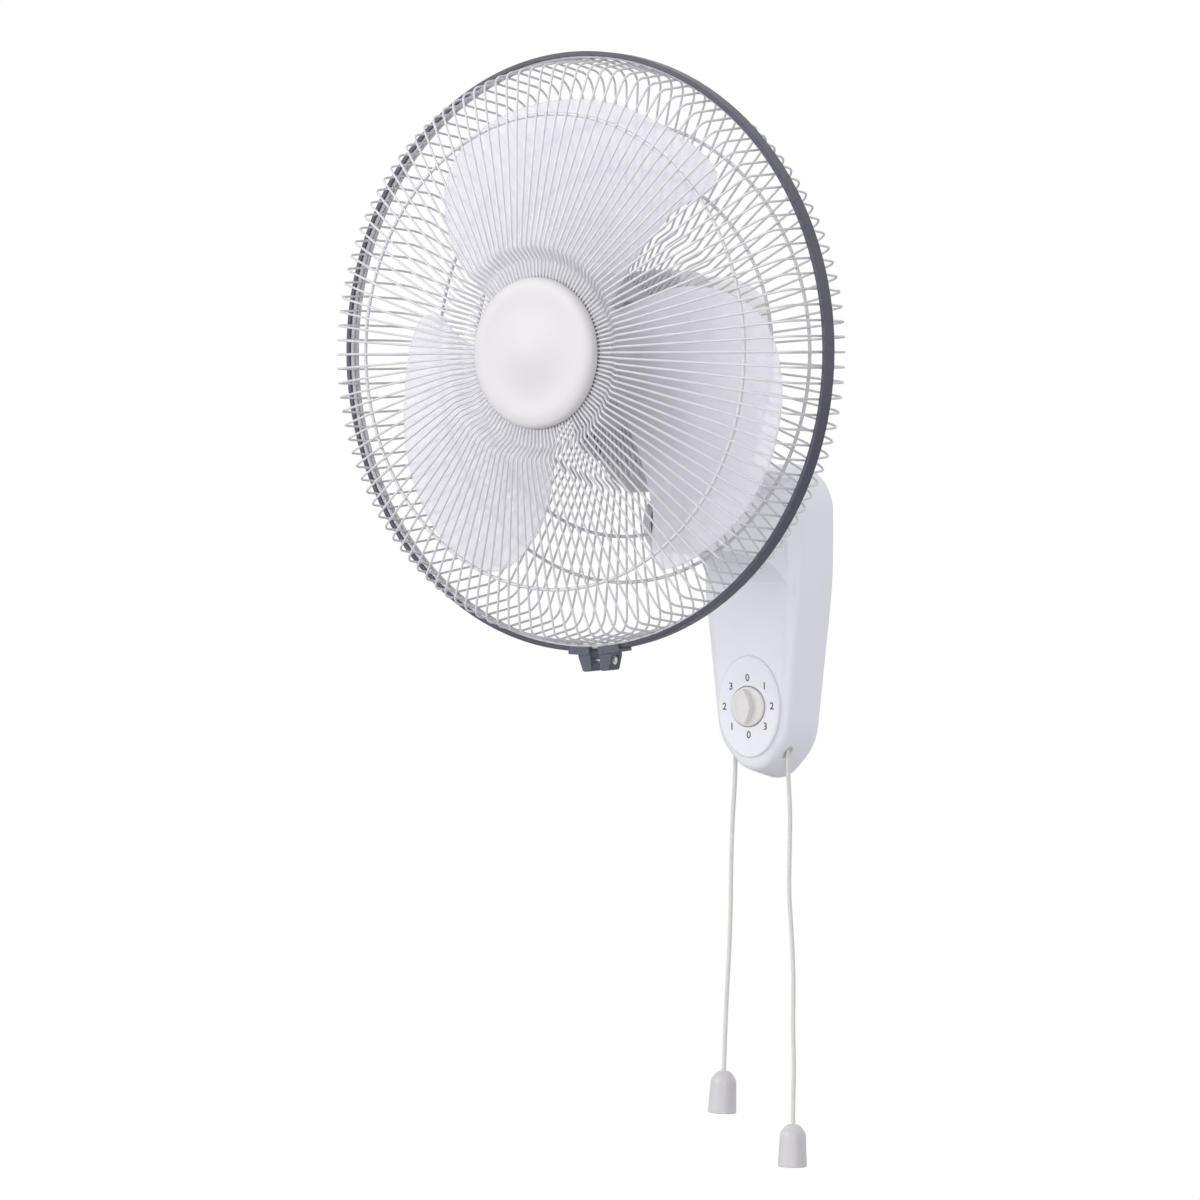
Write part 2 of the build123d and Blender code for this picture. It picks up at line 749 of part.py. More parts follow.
with BuildPart() as front_cover:
    with BuildSketch(face_at(-cover_split)):
        cover_face(0, cover_bottom)
    extrude(amount=cover_split - cover_front)
    fillet(front_cover.faces().sort_by(Axis.Y)[0].edges(), 4)
    with BuildSketch(face_at(-cover_split)):
        cover_face(cover_wall, cover_bottom)
    extrude(amount=cover_split - cover_front - cover_wall, mode=Mode.SUBTRACT)
    with BuildSketch(face_at(-cover_front)):
        Circle(boss_radius + 5)
        for radius, count in ((64, 15), (44, 11)):
            for step in range(-count, count + 1):
                turn = 180 + step * 4.6 * 64 / radius
                slot_x, slot_y = on_front(radius, turn)
                inside = abs(slot_x) < cover_half_width - 8
                if inside and slot_y - vent_centre > 10 - cover_bottom:
                    with Locations(Location((slot_x, slot_y - vent_centre, 0), -turn)):
                        Rectangle(vent_width, vent_length)
    extrude(amount=-cover_wall - 1, mode=Mode.SUBTRACT)
front_cover.part.label = "motor_front_cover"
export_step(front_cover.part, "parts/motor_front_cover.step")

rear_top = cover_top - 1


def rear_block(shrink):
    """The outer form of the motor's rear cover, shrunk by a wall (or grown by a gap)."""
    with BuildPart() as block:
        with BuildSketch(back_at(cover_split + cover_gap)):
            with Locations((0, (rear_half_height - rear_top) / 2)):
                height = rear_top + rear_half_height - 2 * shrink
                RectangleRounded(2 * (cover_half_width - 1 - shrink), height, rear_corner - shrink)
        extrude(amount=cover_back - cover_split - cover_gap - shrink, taper=rear_taper)
        fillet(block.faces().sort_by(Axis.Y)[-1].edges(), rear_round - shrink)
    return block.part


def neck_block(shrink, lift):
    """The outer form of the neck housing, shrunk by a wall, its foot lifted by a floor."""
    levels = (
        (40.0, 50.0, 57.0, 34.0),
        (80.0, 49.0, 56.0, 34.0),
        (neck_bottom - lift, 33.0, 37.0, 26.0),
    )
    with BuildPart() as block:
        for below, half_x, half_y, corner in levels:
            with BuildSketch(deck_at(pivot_behind - 3, below)):
                RectangleRounded(2 * (half_x - shrink), 2 * (half_y - shrink), corner - shrink)
        loft()
    return block.part


yoke_face = bracket_back + 0.1
yoke_web = yoke_base - yoke_web_rise
with BuildPart() as rear_cover:
    add(rear_block(0))
    add(rear_block(cover_wall), mode=Mode.SUBTRACT)
    # the yoke comes in through the floor, under the neck housing
    with BuildSketch(deck_at(pivot_behind + 14, cover_bottom)):
        Rectangle(2 * yoke_half_width + 6, yoke_port)
    extrude(amount=cover_bottom - rear_half_height + 14, mode=Mode.SUBTRACT)
    # cooling slots in the rear end
    with BuildSketch(back_at(cover_back)):
        with GridLocations(7, 1, 9, 1):
            SlotOverall(34, vent_width, rotation=90)
    extrude(amount=-cover_wall - 3, mode=Mode.SUBTRACT)
rear_cover.part.label = "motor_rear_cover"
export_step(rear_cover.part, "parts/motor_rear_cover.step")

with BuildPart() as neck_housing:
    add(neck_block(0, 0))
    add(neck_block(neck_wall, neck_wall), mode=Mode.SUBTRACT)
    with BuildSketch(deck_at(pivot_behind, neck_bottom + 1)):
        Circle(turntable_radius + turntable_gap)
    extrude(amount=neck_wall + 4, mode=Mode.SUBTRACT)
    with BuildSketch(face_at(-cover_split)):
        cover_face(-cover_gap, cover_bottom)
    extrude(amount=cover_split, mode=Mode.SUBTRACT)
    add(rear_block(-cover_gap), mode=Mode.SUBTRACT)
    with BuildSketch(back_at(cover_split - 1)):
        Rectangle(2 * (cover_half_width - rear_corner), 2 * rear_half_height)
    extrude(amount=2, mode=Mode.SUBTRACT)
neck_housing.part.label = "neck_housing"
export_step(neck_housing.part, "parts/neck_housing.step")

# ================================================================== swing drive
with BuildPart(deck_at(pivot_behind, yoke_base)) as swing_yoke:
    Cylinder(yoke_boss, yoke_base - yoke_top, align=stand)
    yoke_reach = yoke_face + yoke_plate - pivot_behind
    with BuildSketch(deck_at(pivot_behind, yoke_web)):
        with Locations((0, yoke_reach / 2)):
            Rectangle(2 * yoke_half_width - 10, yoke_reach)
    extrude(amount=yoke_plate)
    with BuildSketch(face_at(-yoke_face)):
        with Locations((0, -(yoke_plate_top + yoke_web) / 2)):
            Rectangle(2 * yoke_half_width, yoke_web - yoke_plate_top)
    extrude(amount=-yoke_plate)
    Hole(pin_radius + running + bush_wall + running, depth=60)
    with BuildSketch(face_at(-yoke_face + 1)):
        with Locations(*yoke_screw_places):
            Circle(yoke_screw_radius + 2 * running)
    extrude(amount=-yoke_plate - 2, mode=Mode.SUBTRACT)
swing_yoke.part.label = "swing_yoke"
export_step(swing_yoke.part, "parts/swing_yoke.step")

with BuildPart() as yoke_screws:
    with BuildSketch(face_at(-yoke_face - yoke_plate - 0.05)):
        with Locations(*yoke_screw_places):
            Circle(yoke_screw_radius)
    extrude(amount=yoke_plate + bracket_wall)
    with BuildSketch(face_at(-yoke_face - yoke_plate - 0.05)):
        with Locations(*yoke_screw_places):
            Circle(1.8 * yoke_screw_radius)
    extrude(amount=-2.4)
yoke_screws.part.label = "yoke_screws"
export_step(yoke_screws.part, "parts/yoke_screws.step")

with BuildPart(deck_at(pivot_behind, yoke_base)) as swing_bush:
    Cylinder(pin_radius + running + bush_wall, yoke_base - yoke_top, align=stand)
    Hole(pin_radius + running)
swing_bush.part.label = "swing_bush"
export_step(swing_bush.part, "parts/swing_bush.step")

# the tilting neck: a turntable under the head and a tongue between the arm's cheeks
turntable_bottom = neck_bottom + 0.5
turntable_top = turntable_bottom - turntable_thickness
pin_foot = pivot_below - 12
# top face of the drive arm below the fan axis, over the yoke's boss and the spacer
drive_arm_height = yoke_top - spacer_height - drive_arm_thickness
with BuildPart(deck_at(pivot_behind, turntable_bottom)) as tilt_neck:
    Cylinder(turntable_radius, turntable_thickness, align=stand)
    chamfer(tilt_neck.edges().sort_by(Axis.Z)[0], 1)
    with BuildSketch(Plane(origin=tilt_pivot, x_dir=-forward, z_dir=right)):
        Circle(tongue_radius)
        with Locations((0, (pivot_below - turntable_bottom) / 2)):
            Rectangle(2 * tongue_radius - 2, pivot_below - turntable_bottom)
    extrude(amount=tongue_width / 2, both=True)
    with BuildSketch(Plane(origin=tilt_pivot - right * tongue_width, z_dir=right)):
        Circle(tilt_bolt_radius + running)
    extrude(amount=2 * tongue_width, mode=Mode.SUBTRACT)
    with BuildSketch(deck_at(pivot_behind, pin_foot)):
        Circle(pin_radius + running)
    extrude(amount=pin_foot, mode=Mode.SUBTRACT)
tilt_neck.part.label = "tilt_neck"
export_step(tilt_neck.part, "parts/tilt_neck.step")

with BuildPart(deck_at(pivot_behind, pin_foot)) as swing_pin:
    Cylinder(pin_radius, pin_foot - drive_arm_height + pin_nut_height + 0.5, align=stand)
    chamfer(swing_pin.edges().filter_by(GeomType.CIRCLE), 0.6)
swing_pin.part.label = "swing_pin"
export_step(swing_pin.part, "parts/swing_pin.step")

# the washer under the yoke's boss and the spacer above it
with BuildPart() as pin_washers:
    with BuildSketch(deck_at(pivot_behind, turntable_top - 0.05)):
        Circle(2.8 * pin_radius)
        Circle(pin_radius + running, mode=Mode.SUBTRACT)
    extrude(amount=turntable_top - yoke_base - 0.1)
    with BuildSketch(deck_at(pivot_behind, yoke_top - 0.05)):
        Circle(1.6 * pin_radius)
        Circle(pin_radius + running, mode=Mode.SUBTRACT)
    extrude(amount=spacer_height - 0.1)
pin_washers.part.label = "pin_washers"
export_step(pin_washers.part, "parts/pin_washers.step")

slot_near = crank_distance - 2
slot_far = crank_distance + crank_throw + crank_pin + slot_play
slot_width = 2 * (crank_pin + slot_play)
with BuildPart() as drive_arm:
    with BuildSketch(deck_at(pivot_behind, drive_arm_height + drive_arm_thickness)):
        Circle(9)
        with Locations((0, -(slot_far + 3) / 2)):
            RectangleRounded(slot_width + 6, slot_far + 3, 3)
        Circle(pin_radius + running, mode=Mode.SUBTRACT)
        with Locations((0, -(slot_near + slot_far) / 2)):
            SlotOverall(slot_far - slot_near, slot_width, rotation=90, mode=Mode.SUBTRACT)
    extrude(amount=drive_arm_thickness)
drive_arm.part.label = "swing_drive_arm"
export_step(drive_arm.part, "parts/swing_drive_arm.step")

with BuildPart() as pin_nut:
    with BuildSketch(deck_at(pivot_behind, drive_arm_height - 0.05)):
        RegularPolygon(7.6, 6)
        Circle(pin_radius + running, mode=Mode.SUBTRACT)
    extrude(amount=pin_nut_height)
pin_nut.part.label = "pin_nut"
export_step(pin_nut.part, "parts/pin_nut.step")

crank_behind = pivot_behind - crank_distance
crank_bottom = drive_arm_height - crank_gap
swing_motor_bottom = crank_bottom - crank_thickness - crank_stand
with BuildPart(deck_at(crank_behind, swing_motor_bottom)) as swing_motor:
    Cylinder(swing_motor_radius, swing_motor_length, align=stand)
    chamfer(swing_motor.edges().filter_by(GeomType.CIRCLE), 0.8)
    Box(16, 12, swing_motor_bottom - bracket_outer - 0.3, align=stand)
    with BuildSketch(deck_at(crank_behind, swing_motor_bottom)):
        Circle(3 + running)
    extrude(amount=8, mode=Mode.SUBTRACT)
swing_motor.part.label = "swing_motor"
export_step(swing_motor.part, "parts/swing_motor.step")

with BuildPart(deck_at(crank_behind, crank_bottom)) as crank_disc:
    Cylinder(crank_radius, crank_thickness, align=stand)
    Cylinder(3, crank_thickness + crank_stand + 7.5, align=stand)
    with BuildSketch(deck_at(crank_behind - crank_throw, drive_arm_height + drive_arm_thickness + 1.5)):
        Circle(crank_pin)
    extrude(amount=drive_arm_height + drive_arm_thickness + 1.5 - crank_bottom)
crank_disc.part.label = "crank_disc"
export_step(crank_disc.part, "parts/crank_disc.step")


# ================================================================== base housing
def base_outline(inset):
    """The base seen from the room, x right and y up, drawn in by an inset."""
    across = 1 - inset / base_half_width
    middle = (base_top + base_bottom) / 2
    along = 1 - inset / (base_top - middle)
    # corners of the outline and their bends: round top, tapering sides, egg shaped foot
    corners = [
        (base_half_width, base_top, top_bend),
        (base_half_width, side_corner, side_bend),
        (*foot_corner, foot_bend),
    ]
    tip = (0, tip_corner, tip_bend)
    outline = corners + [tip] + [(-x, z, bend) for x, z, bend in reversed(corners)]
    with BuildSketch() as sketch:
        with BuildLine():
            FilletPolyline(
                *[(x * across, middle + (z - middle) * along) for x, z, bend in outline],
                radius=[bend - 0.6 * inset for x, z, bend in outline],
                close=True,
            )
        make_face()
    return sketch.sketch


def base_block(shrink):
    """Sides, bevel and front panel of the base, each wall moved in by a wall thickness."""
    with BuildPart() as block:
        with BuildSketch(front_view(-shrink)):
            add(base_outline(shrink))
        with BuildSketch(front_view(side_depth - 0.4 * shrink)):
            add(base_outline(side_inset + shrink))
        with BuildSketch(front_view(panel_depth - shrink, panel_slope)):
            add(base_outline(panel_inset + 0.6 * shrink))
        loft(ruled=True)
        fillet(block.faces().sort_by(Axis.Y)[0].edges(), panel_bend - shrink)
        crease = 0.4 * shrink - side_depth
        fillet(block.edges().filter_by_position(Axis.Y, crease - 0.1, crease + 0.1), crease_bend - shrink)
    return block.part


pivot_y = tilt_pivot.Y
pivot_z = tilt_pivot.Z
fork_end = pivot_y - fork_radius
slot_end = pivot_y + tongue_radius + 2
arm_start = side_depth + 4


def arm_block(shrink, reach):
    """The arm: its side view crossed with its plan view; both flare out into the panel."""
    low = shrink
    with BuildPart() as block:
        with BuildSketch(side_view):
            with BuildLine():
                Spline(
                    (-arm_start, arm_root_bottom - 20 + low),
                    (-arm_start - 9, arm_root_bottom - 1 + low),
                    (-arm_start - 21, arm_root_bottom + 8 + low),
                    (-arm_start - 44, arm_root_bottom + 12 + low),
                    (pivot_y, pivot_z - fork_radius + low),
                    tangents=((-0.2, 1), (-1, 0)),
                )
                Line((pivot_y, pivot_z - fork_radius + low), (pivot_y, pivot_z + fork_radius - low))
                Spline(
                    (pivot_y, pivot_z + fork_radius - low),
                    (-arm_start - 42, pivot_z + fork_radius - low),
                    (-arm_start - 20, pivot_z + fork_radius + 3 - low),
                    (-arm_start - 9, arm_root_top - 9 - low),
                    (-arm_start, arm_root_top - low),
                    tangents=((1, 0), (0.4, 1)),
                )
                Polyline(
                    (-arm_start, arm_root_top - low),
                    (-arm_start + 12 + shrink, arm_root_top - low),
                    (-arm_start + 12 + shrink, arm_root_bottom - 20 + low),
                    (-arm_start, arm_root_bottom - 20 + low),
                )
            make_face()
            with Locations((pivot_y, pivot_z)):
                Circle(fork_radius - low)
        extrude(amount=base_half_width, both=True)
        with BuildSketch(Plane.XY):
            with BuildLine():
                for side in (1, -1):
                    Spline(
                        (side * (arm_root_half_width + 5 - shrink), -arm_start),
                        (side * (arm_root_half_width - 4 - shrink), -arm_start - 9),
                        (side * (arm_half_width + 5 - shrink), -arm_start - 21),
                        (side * (arm_half_width + 1.4 - shrink), -arm_start - 44),
                        (side * (arm_half_width - shrink), slot_end - 6),
                        tangents=((-side, -0.3), (0, -1)),
                    )
                    Line(
                        (side * (arm_half_width - shrink), slot_end - 6),
                        (side * (arm_half_width - shrink), fork_end - 1),
                    )
                    Line(
                        (side * (arm_root_half_width + 5 - shrink), -arm_start),
                        (side * (arm_root_half_width + 5 - shrink), -arm_start + 12 + shrink),
                    )
                Line(
                    (-arm_half_width + shrink, fork_end - 1), (arm_half_width - shrink, fork_end - 1)
                )
                Line(
                    (-arm_root_half_width - 5 + shrink, -arm_start + 12 + shrink),
                    (arm_root_half_width + 5 - shrink, -arm_start + 12 + shrink),
                )
            make_face()
        extrude(amount=base_top, mode=Mode.INTERSECT)
        with BuildSketch(front_view(-reach)):
            Rectangle(4 * base_half_width, 4 * base_top)
        extrude(amount=reach * 2, mode=Mode.INTERSECT)
    return block.part


def dial_at(rise):
    """A plane on the dial's centre, rise ahead of the front panel: x right, y up."""
    panel = front_view(panel_depth, panel_slope)
    return Plane(
        origin=panel.origin + panel.y_dir * dial_height + panel.z_dir * rise,
        x_dir=right,
        z_dir=panel.z_dir,
    )


cover_face_depth = rear_cover_behind + rear_cover_thickness
lock_head = base_bottom + lock_head_above
eyelet_outer = eyelet_bore + eyelet_wall
with BuildPart() as screw_posts:
    with BuildSketch(front_view(cover_face_depth + 0.1)):
        with Locations(*post_places):
            Circle(post_radius)
    extrude(amount=60)
    add(base_block(0) + arm_block(0, 200), mode=Mode.INTERSECT)

# the raised oval round the dial, and the seat of the locking screw's head
with BuildPart() as dial_pad:
    with BuildSketch(dial_at(-3)):
        Ellipse(dial_half_width, dial_half_height)
    extrude(amount=dial_raise + 3)
    fillet(dial_pad.faces().sort_by(Axis.Y)[0].edges(), dial_edge)
with BuildPart() as lock_seat:
    with Locations((0, -lock_depth, base_bottom - 2)):
        Cylinder(lock_head_radius + 2.2, lock_head - base_bottom + 5, align=stand)
    add(base_block(0), mode=Mode.INTERSECT)

with BuildPart() as base_housing:
    add(base_block(0))
    add(arm_block(0, 200))
    add(dial_pad.part)
    add(base_block(base_wall), mode=Mode.SUBTRACT)
    add(arm_block(base_wall, -slot_end), mode=Mode.SUBTRACT)
    add(screw_posts.part)
    add(lock_seat.part)
    # the fork's slot, the bolt through its cheeks
    with BuildSketch(Plane.XY):
        with Locations((0, (fork_end - 1 + slot_end) / 2)):
            Rectangle(fork_slot, slot_end - fork_end + 1)
    extrude(amount=base_top, mode=Mode.SUBTRACT)
    with BuildSketch(Plane(origin=tilt_pivot - right * base_half_width, z_dir=right)):
        Circle(tilt_bolt_radius + running)
    extrude(amount=2 * base_half_width, mode=Mode.SUBTRACT)
    # the dial's recess and the spindle's hole
    with BuildSketch(dial_at(dial_raise)):
        Circle(knob_radius + knob_gap)
    extrude(amount=-knob_recess, mode=Mode.SUBTRACT)
    with BuildSketch(dial_at(dial_raise)):
        Circle(spindle_radius + 0.5)
    extrude(amount=-12, mode=Mode.SUBTRACT)
    # screw holes in the posts, the cords' eyelet holes and the locking screw's hole
    with BuildSketch(front_view(0)):
        with Locations(*post_places):
            Circle(post_screw_radius + 2 * running)
    extrude(amount=cover_face_depth + 14, mode=Mode.SUBTRACT)
    with BuildSketch(Plane.XY.offset(base_bottom)):
        with Locations((cord_x, -cord_depth), (-cord_x, -cord_depth)):
            Circle(eyelet_outer + running)
    extrude(amount=eyelet_top - base_bottom, mode=Mode.SUBTRACT)
    with BuildSketch(Plane.XY.offset(base_bottom - 2)):
        with Locations((0, -lock_depth)):
            Circle(lock_radius + 0.2)
    extrude(amount=lock_head - base_bottom + 8, mode=Mode.SUBTRACT)
    with BuildSketch(Plane.XY.offset(base_bottom - 2)):
        with Locations((0, -lock_depth)):
            Circle(lock_head_radius + 0.4)
    extrude(amount=lock_head - base_bottom + 2.05, mode=Mode.SUBTRACT)
base_housing.part.label = "base_housing"
export_step(base_housing.part, "parts/base_housing.step")

# ================================================================== arm bracket and tilt bolt
ear_inner = tongue_width / 2 + 0.5
flange_depth = cover_face_depth + 0.1
with BuildPart() as arm_bracket:
    with BuildSketch(front_view(flange_depth)):
        with Locations((0, (flange_top + flange_bottom) / 2)):
            Rectangle(2 * flange_half_width, flange_top - flange_bottom)
            with GridLocations(flange_screw_x, flange_screw_z, 2, 2):
                Circle(flange_screw_radius + 2 * running, mode=Mode.SUBTRACT)
    extrude(amount=bracket_thickness)
    with BuildSketch(Plane(origin=(ear_inner, 0, 0), x_dir=(0, 1, 0), z_dir=(1, 0, 0))):
        with BuildLine():
            Polyline(
                (-flange_depth - 1, flange_bottom + 6),
                (-flange_depth - 1, flange_top - 6),
                (pivot_y, pivot_z + 14),
                (pivot_y, pivot_z - 14),
                close=True,
            )
        make_face()
        with Locations((pivot_y, pivot_z)):
            Circle(14)
            Circle(tilt_bolt_radius + running, mode=Mode.SUBTRACT)
    extrude(amount=bracket_thickness)
    mirror(about=Plane.YZ)
arm_bracket.part.label = "arm_bracket"
export_step(arm_bracket.part, "parts/arm_bracket.step")

cheek_outer = arm_half_width + 0.1
bolt_plane = Plane(origin=tilt_pivot - right * (cheek_outer + 3), z_dir=right)
with BuildPart(bolt_plane) as tilt_bolt:
    Cylinder(tilt_bolt_radius, 2 * cheek_outer + 4, align=stand)
    with BuildSketch(Plane(origin=tilt_pivot + right * cheek_outer, z_dir=right)):
        Circle(tilt_head_radius)
    extrude(amount=5)
    chamfer(tilt_bolt.edges().sort_by(Axis.X)[-1], 1.2)
    # its cap nut on the left cheek
    with BuildSketch(Plane(origin=tilt_pivot - right * cheek_outer, z_dir=-right)):
        RegularPolygon(tilt_head_radius, 6)
        Circle(tilt_bolt_radius + running, mode=Mode.SUBTRACT)
    extrude(amount=4)
    with BuildSketch(Plane(origin=tilt_pivot - right * (cheek_outer + 3.95), z_dir=-right)):
        RegularPolygon(tilt_head_radius, 6)
    extrude(amount=2)
tilt_bolt.part.label = "tilt_bolt"
export_step(tilt_bolt.part, "parts/tilt_bolt.step")

with BuildPart() as tilt_washers:
    with BuildSketch(Plane(origin=tilt_pivot + right * (ear_inner - 0.05), z_dir=-right)):
        Circle(tilt_washer_radius)
        Circle(tilt_bolt_radius + running, mode=Mode.SUBTRACT)
    extrude(amount=0.4)
    mirror(about=Plane.YZ)
tilt_washers.part.label = "tilt_washers"
export_step(tilt_washers.part, "parts/tilt_washers.step")

# ================================================================== wall plate, rear cover
hook_reach = cover_face_depth + 4
with BuildPart() as wall_plate:
    with BuildSketch(front_view(0)):
        with Locations((0, (plate_top + plate_bottom) / 2)):
            RectangleRounded(2 * plate_half_width, plate_top - plate_bottom, 6)
        with Locations((0, (plate_bottom + tab_height) / 2)):
            Rectangle(2 * tab_half_width, plate_bottom - tab_height)
        with GridLocations(wall_hole_x, wall_hole_z, 2, 2):
            Circle(wall_hole_radius, mode=Mode.SUBTRACT)
        RectangleRounded(34, 60, 5, mode=Mode.SUBTRACT)
        for side in (1, -1):
            with Locations((side * hook_x, hook_height - 5)):
                Rectangle(2 * hook_half_width, 6, mode=Mode.SUBTRACT)
    extrude(amount=plate_thickness)
    for side in (1, -1):
        with BuildSketch(Plane(origin=(side * hook_x, 0, 0), x_dir=(0, 1, 0), z_dir=(1, 0, 0))):
            with BuildLine():
                Polyline(
                    (-plate_thickness / 2, hook_height - 2),
                    (-hook_reach, hook_height - 2),
                    (-hook_reach, hook_height + hook_lip),
                    (-hook_reach + 2, hook_height + hook_lip),
                    (-hook_reach + 2, hook_height),
                    (-plate_thickness / 2, hook_height),
                    close=True,
                )
            make_face()
        extrude(amount=hook_half_width, both=True)
    with BuildSketch(Plane.XY.offset(tab_height)):
        with Locations((0, -7)):
            Rectangle(2 * tab_half_width, 14)
        with Locations((0, -lock_depth)):
            Circle(lock_radius + running, mode=Mode.SUBTRACT)
    extrude(amount=plate_thickness)
wall_plate.part.label = "wall_plate"
export_step(wall_plate.part, "parts/wall_plate.step")

with BuildPart(Plane.XY.offset(lock_head)) as lock_screw:
    with Locations((0, -lock_depth, 0)):
        Cylinder(lock_radius, tab_height - lock_head + 4, align=stand)
        Cylinder(lock_head_radius, 2.2, align=hang)
lock_screw.part.label = "lock_screw"
export_step(lock_screw.part, "parts/lock_screw.step")

wall_run = side_depth + 0.6 * base_wall
wall_lean = side_inset * (cover_face_depth + base_wall) / wall_run
cover_inset = wall_lean + base_wall + rear_cover_play
with BuildPart() as base_rear_cover:
    with BuildSketch(front_view(rear_cover_behind)):
        add(base_outline(cover_inset))
        with Locations(*post_places):
            Circle(post_screw_radius + 0.4, mode=Mode.SUBTRACT)
        with Locations((0, (flange_top + flange_bottom) / 2)):
            with GridLocations(flange_screw_x, flange_screw_z, 2, 2):
                Circle(flange_screw_radius + 2 * running, mode=Mode.SUBTRACT)
        with Locations((0, inlet_height)):
            Circle(inlet_radius + grommet_wall, mode=Mode.SUBTRACT)
        for side in (1, -1):
            with Locations((side * hook_x, hook_height + 0.1 - (hook_lip + 3) / 2)):
                Rectangle(2 * hook_half_width + 3, hook_lip + 3, mode=Mode.SUBTRACT)
        with Locations((0, tab_height - 5)):
            Rectangle(2 * tab_half_width + 3, 24, mode=Mode.SUBTRACT)
    extrude(amount=rear_cover_thickness)
base_rear_cover.part.label = "base_rear_cover"
export_step(base_rear_cover.part, "parts/base_rear_cover.step")

# screws through the rear cover: four into the posts, four into the arm bracket
with BuildPart() as rear_cover_screws:
    for outer, length in ((post_screw_radius, 10), (2 * post_screw_radius, -1.8)):
        with BuildSketch(front_view(rear_cover_behind - 0.05)):
            with Locations(*post_places):
                Circle(outer)
        extrude(amount=length + (rear_cover_thickness if length > 0 else 0))
    for outer, length in ((flange_screw_radius, bracket_thickness + 2), (1.8 * flange_screw_radius, -1.8)):
        with BuildSketch(front_view(rear_cover_behind - 0.05)):
            with Locations((0, (flange_top + flange_bottom) / 2)):
                with GridLocations(flange_screw_x, flange_screw_z, 2, 2):
                    Circle(outer)
        extrude(amount=length + (rear_cover_thickness if length > 0 else 0))
rear_cover_screws.part.label = "rear_cover_screws"
export_step(rear_cover_screws.part, "parts/rear_cover_screws.step")

with BuildPart() as cable_grommet:
    with BuildSketch(front_view(rear_cover_behind - 1.5)):
        with Locations((0, inlet_height)):
            Circle(inlet_radius + grommet_wall - 0.05)
            Circle(inlet_radius, mode=Mode.SUBTRACT)
    extrude(amount=rear_cover_thickness + 3)
    with BuildSketch(front_view(rear_cover_behind - 1.5)):
        with Locations((0, inlet_height)):
            Circle(inlet_radius + grommet_wall + 2)
            Circle(inlet_radius, mode=Mode.SUBTRACT)
    extrude(amount=1.4)
cable_grommet.part.label = "cable_grommet"
export_step(cable_grommet.part, "parts/cable_grommet.step")

# ================================================================== dial and switches
knob_floor = dial_raise - knob_recess + 0.4
with BuildPart(dial_at(knob_floor)) as speed_knob:
    Cylinder(knob_radius, dial_raise + knob_rise - knob_floor, align=stand)
    fillet(speed_knob.edges().sort_by(Axis.Y)[0], 1.6)
    with BuildSketch(dial_at(dial_raise + knob_rise - 0.5)):
        with BuildLine():
            reach = knob_radius - 1.4
            ThreePointArc((0, reach), (grip_half_width, 0), (0, -reach))
            ThreePointArc((0, -reach), (-grip_half_width, 0), (0, reach))
        make_face()
    extrude(amount=grip_height, taper=9)
    with BuildSketch(dial_at(knob_floor)):
        Circle(spindle_radius + running)
    extrude(amount=dial_raise + knob_rise - knob_floor, mode=Mode.SUBTRACT)
speed_knob.part.label = "speed_knob"
export_step(speed_knob.part, "parts/speed_knob.step")

switch_front = -base_wall - 0.2
switch_back = switch_front - switch_depth
wheel_back = switch_back - 3.2
with BuildPart(dial_at(wheel_back - 1)) as switch_spindle:
    Cylinder(spindle_radius, dial_raise + knob_rise - 0.6 - wheel_back, align=stand)
switch_spindle.part.label = "switch_spindle"
export_step(switch_spindle.part, "parts/switch_spindle.step")

with BuildPart() as speed_switch:
    with BuildSketch(dial_at(switch_back)):
        RectangleRounded(2 * switch_half, 2 * switch_half, 3)
        Circle(spindle_radius + running, mode=Mode.SUBTRACT)
    extrude(amount=switch_depth)
speed_switch.part.label = "speed_switch"
export_step(speed_switch.part, "parts/speed_switch.step")

tooth = 360 / wheel_teeth
with BuildPart() as ratchet_wheel:
    with BuildSketch(dial_at(wheel_back)):
        with BuildLine():
            rim = []
            for n in range(wheel_teeth):
                rim.append(on_front(wheel_radius, n * tooth))
                rim.append(on_front(wheel_radius - 2.2, n * tooth + 1.5))
            Polyline(*rim, close=True)
        make_face()
        Circle(spindle_radius + running, mode=Mode.SUBTRACT)
    extrude(amount=2.6)
ratchet_wheel.part.label = "ratchet_wheel"
export_step(ratchet_wheel.part, "parts/ratchet_wheel.step")

slider_top = slider_bottom + slider_length
pawl_tip = wheel_radius + 0.8
wheel_y = dial_at(wheel_back).origin.Y
with BuildPart(Plane.XY.offset(slider_bottom)) as speed_slider:
    with Locations((cord_x, -cord_depth, 0)):
        Box(2 * slider_half_width, 2 * slider_half_width, slider_length, align=stand)
    with Locations(((pawl_tip + cord_x) / 2, wheel_y - 0.5, 9)):
        Box(cord_x - pawl_tip, 2, 3, align=stand)
    with Locations((cord_x, (wheel_y - cord_depth) / 2, 9)):
        Box(2 * slider_half_width, cord_depth + wheel_y + 1, 3, align=stand)
speed_slider.part.label = "speed_slider"
export_step(speed_slider.part, "parts/speed_slider.step")

with BuildPart(Plane.XY.offset(slider_bottom)) as swing_slider:
    with Locations((-cord_x, -cord_depth, 0)):
        Box(2 * slider_half_width, 2 * slider_half_width, slider_length, align=stand)
swing_slider.part.label = "swing_slider"
export_step(swing_slider.part, "parts/swing_slider.step")

back_of_parts = -cover_face_depth - 0.1
on_cover = (Align.CENTER, Align.MAX, Align.MIN)
with BuildPart(Plane.XY.offset(slider_top + 2)) as swing_switch:
    with Locations((-cord_x - 1, back_of_parts, 0)):
        Box(14, 20, 20, align=on_cover)
    chamfer(swing_switch.edges().filter_by(Axis.Y), 1)
swing_switch.part.label = "swing_switch"
export_step(swing_switch.part, "parts/swing_switch.step")

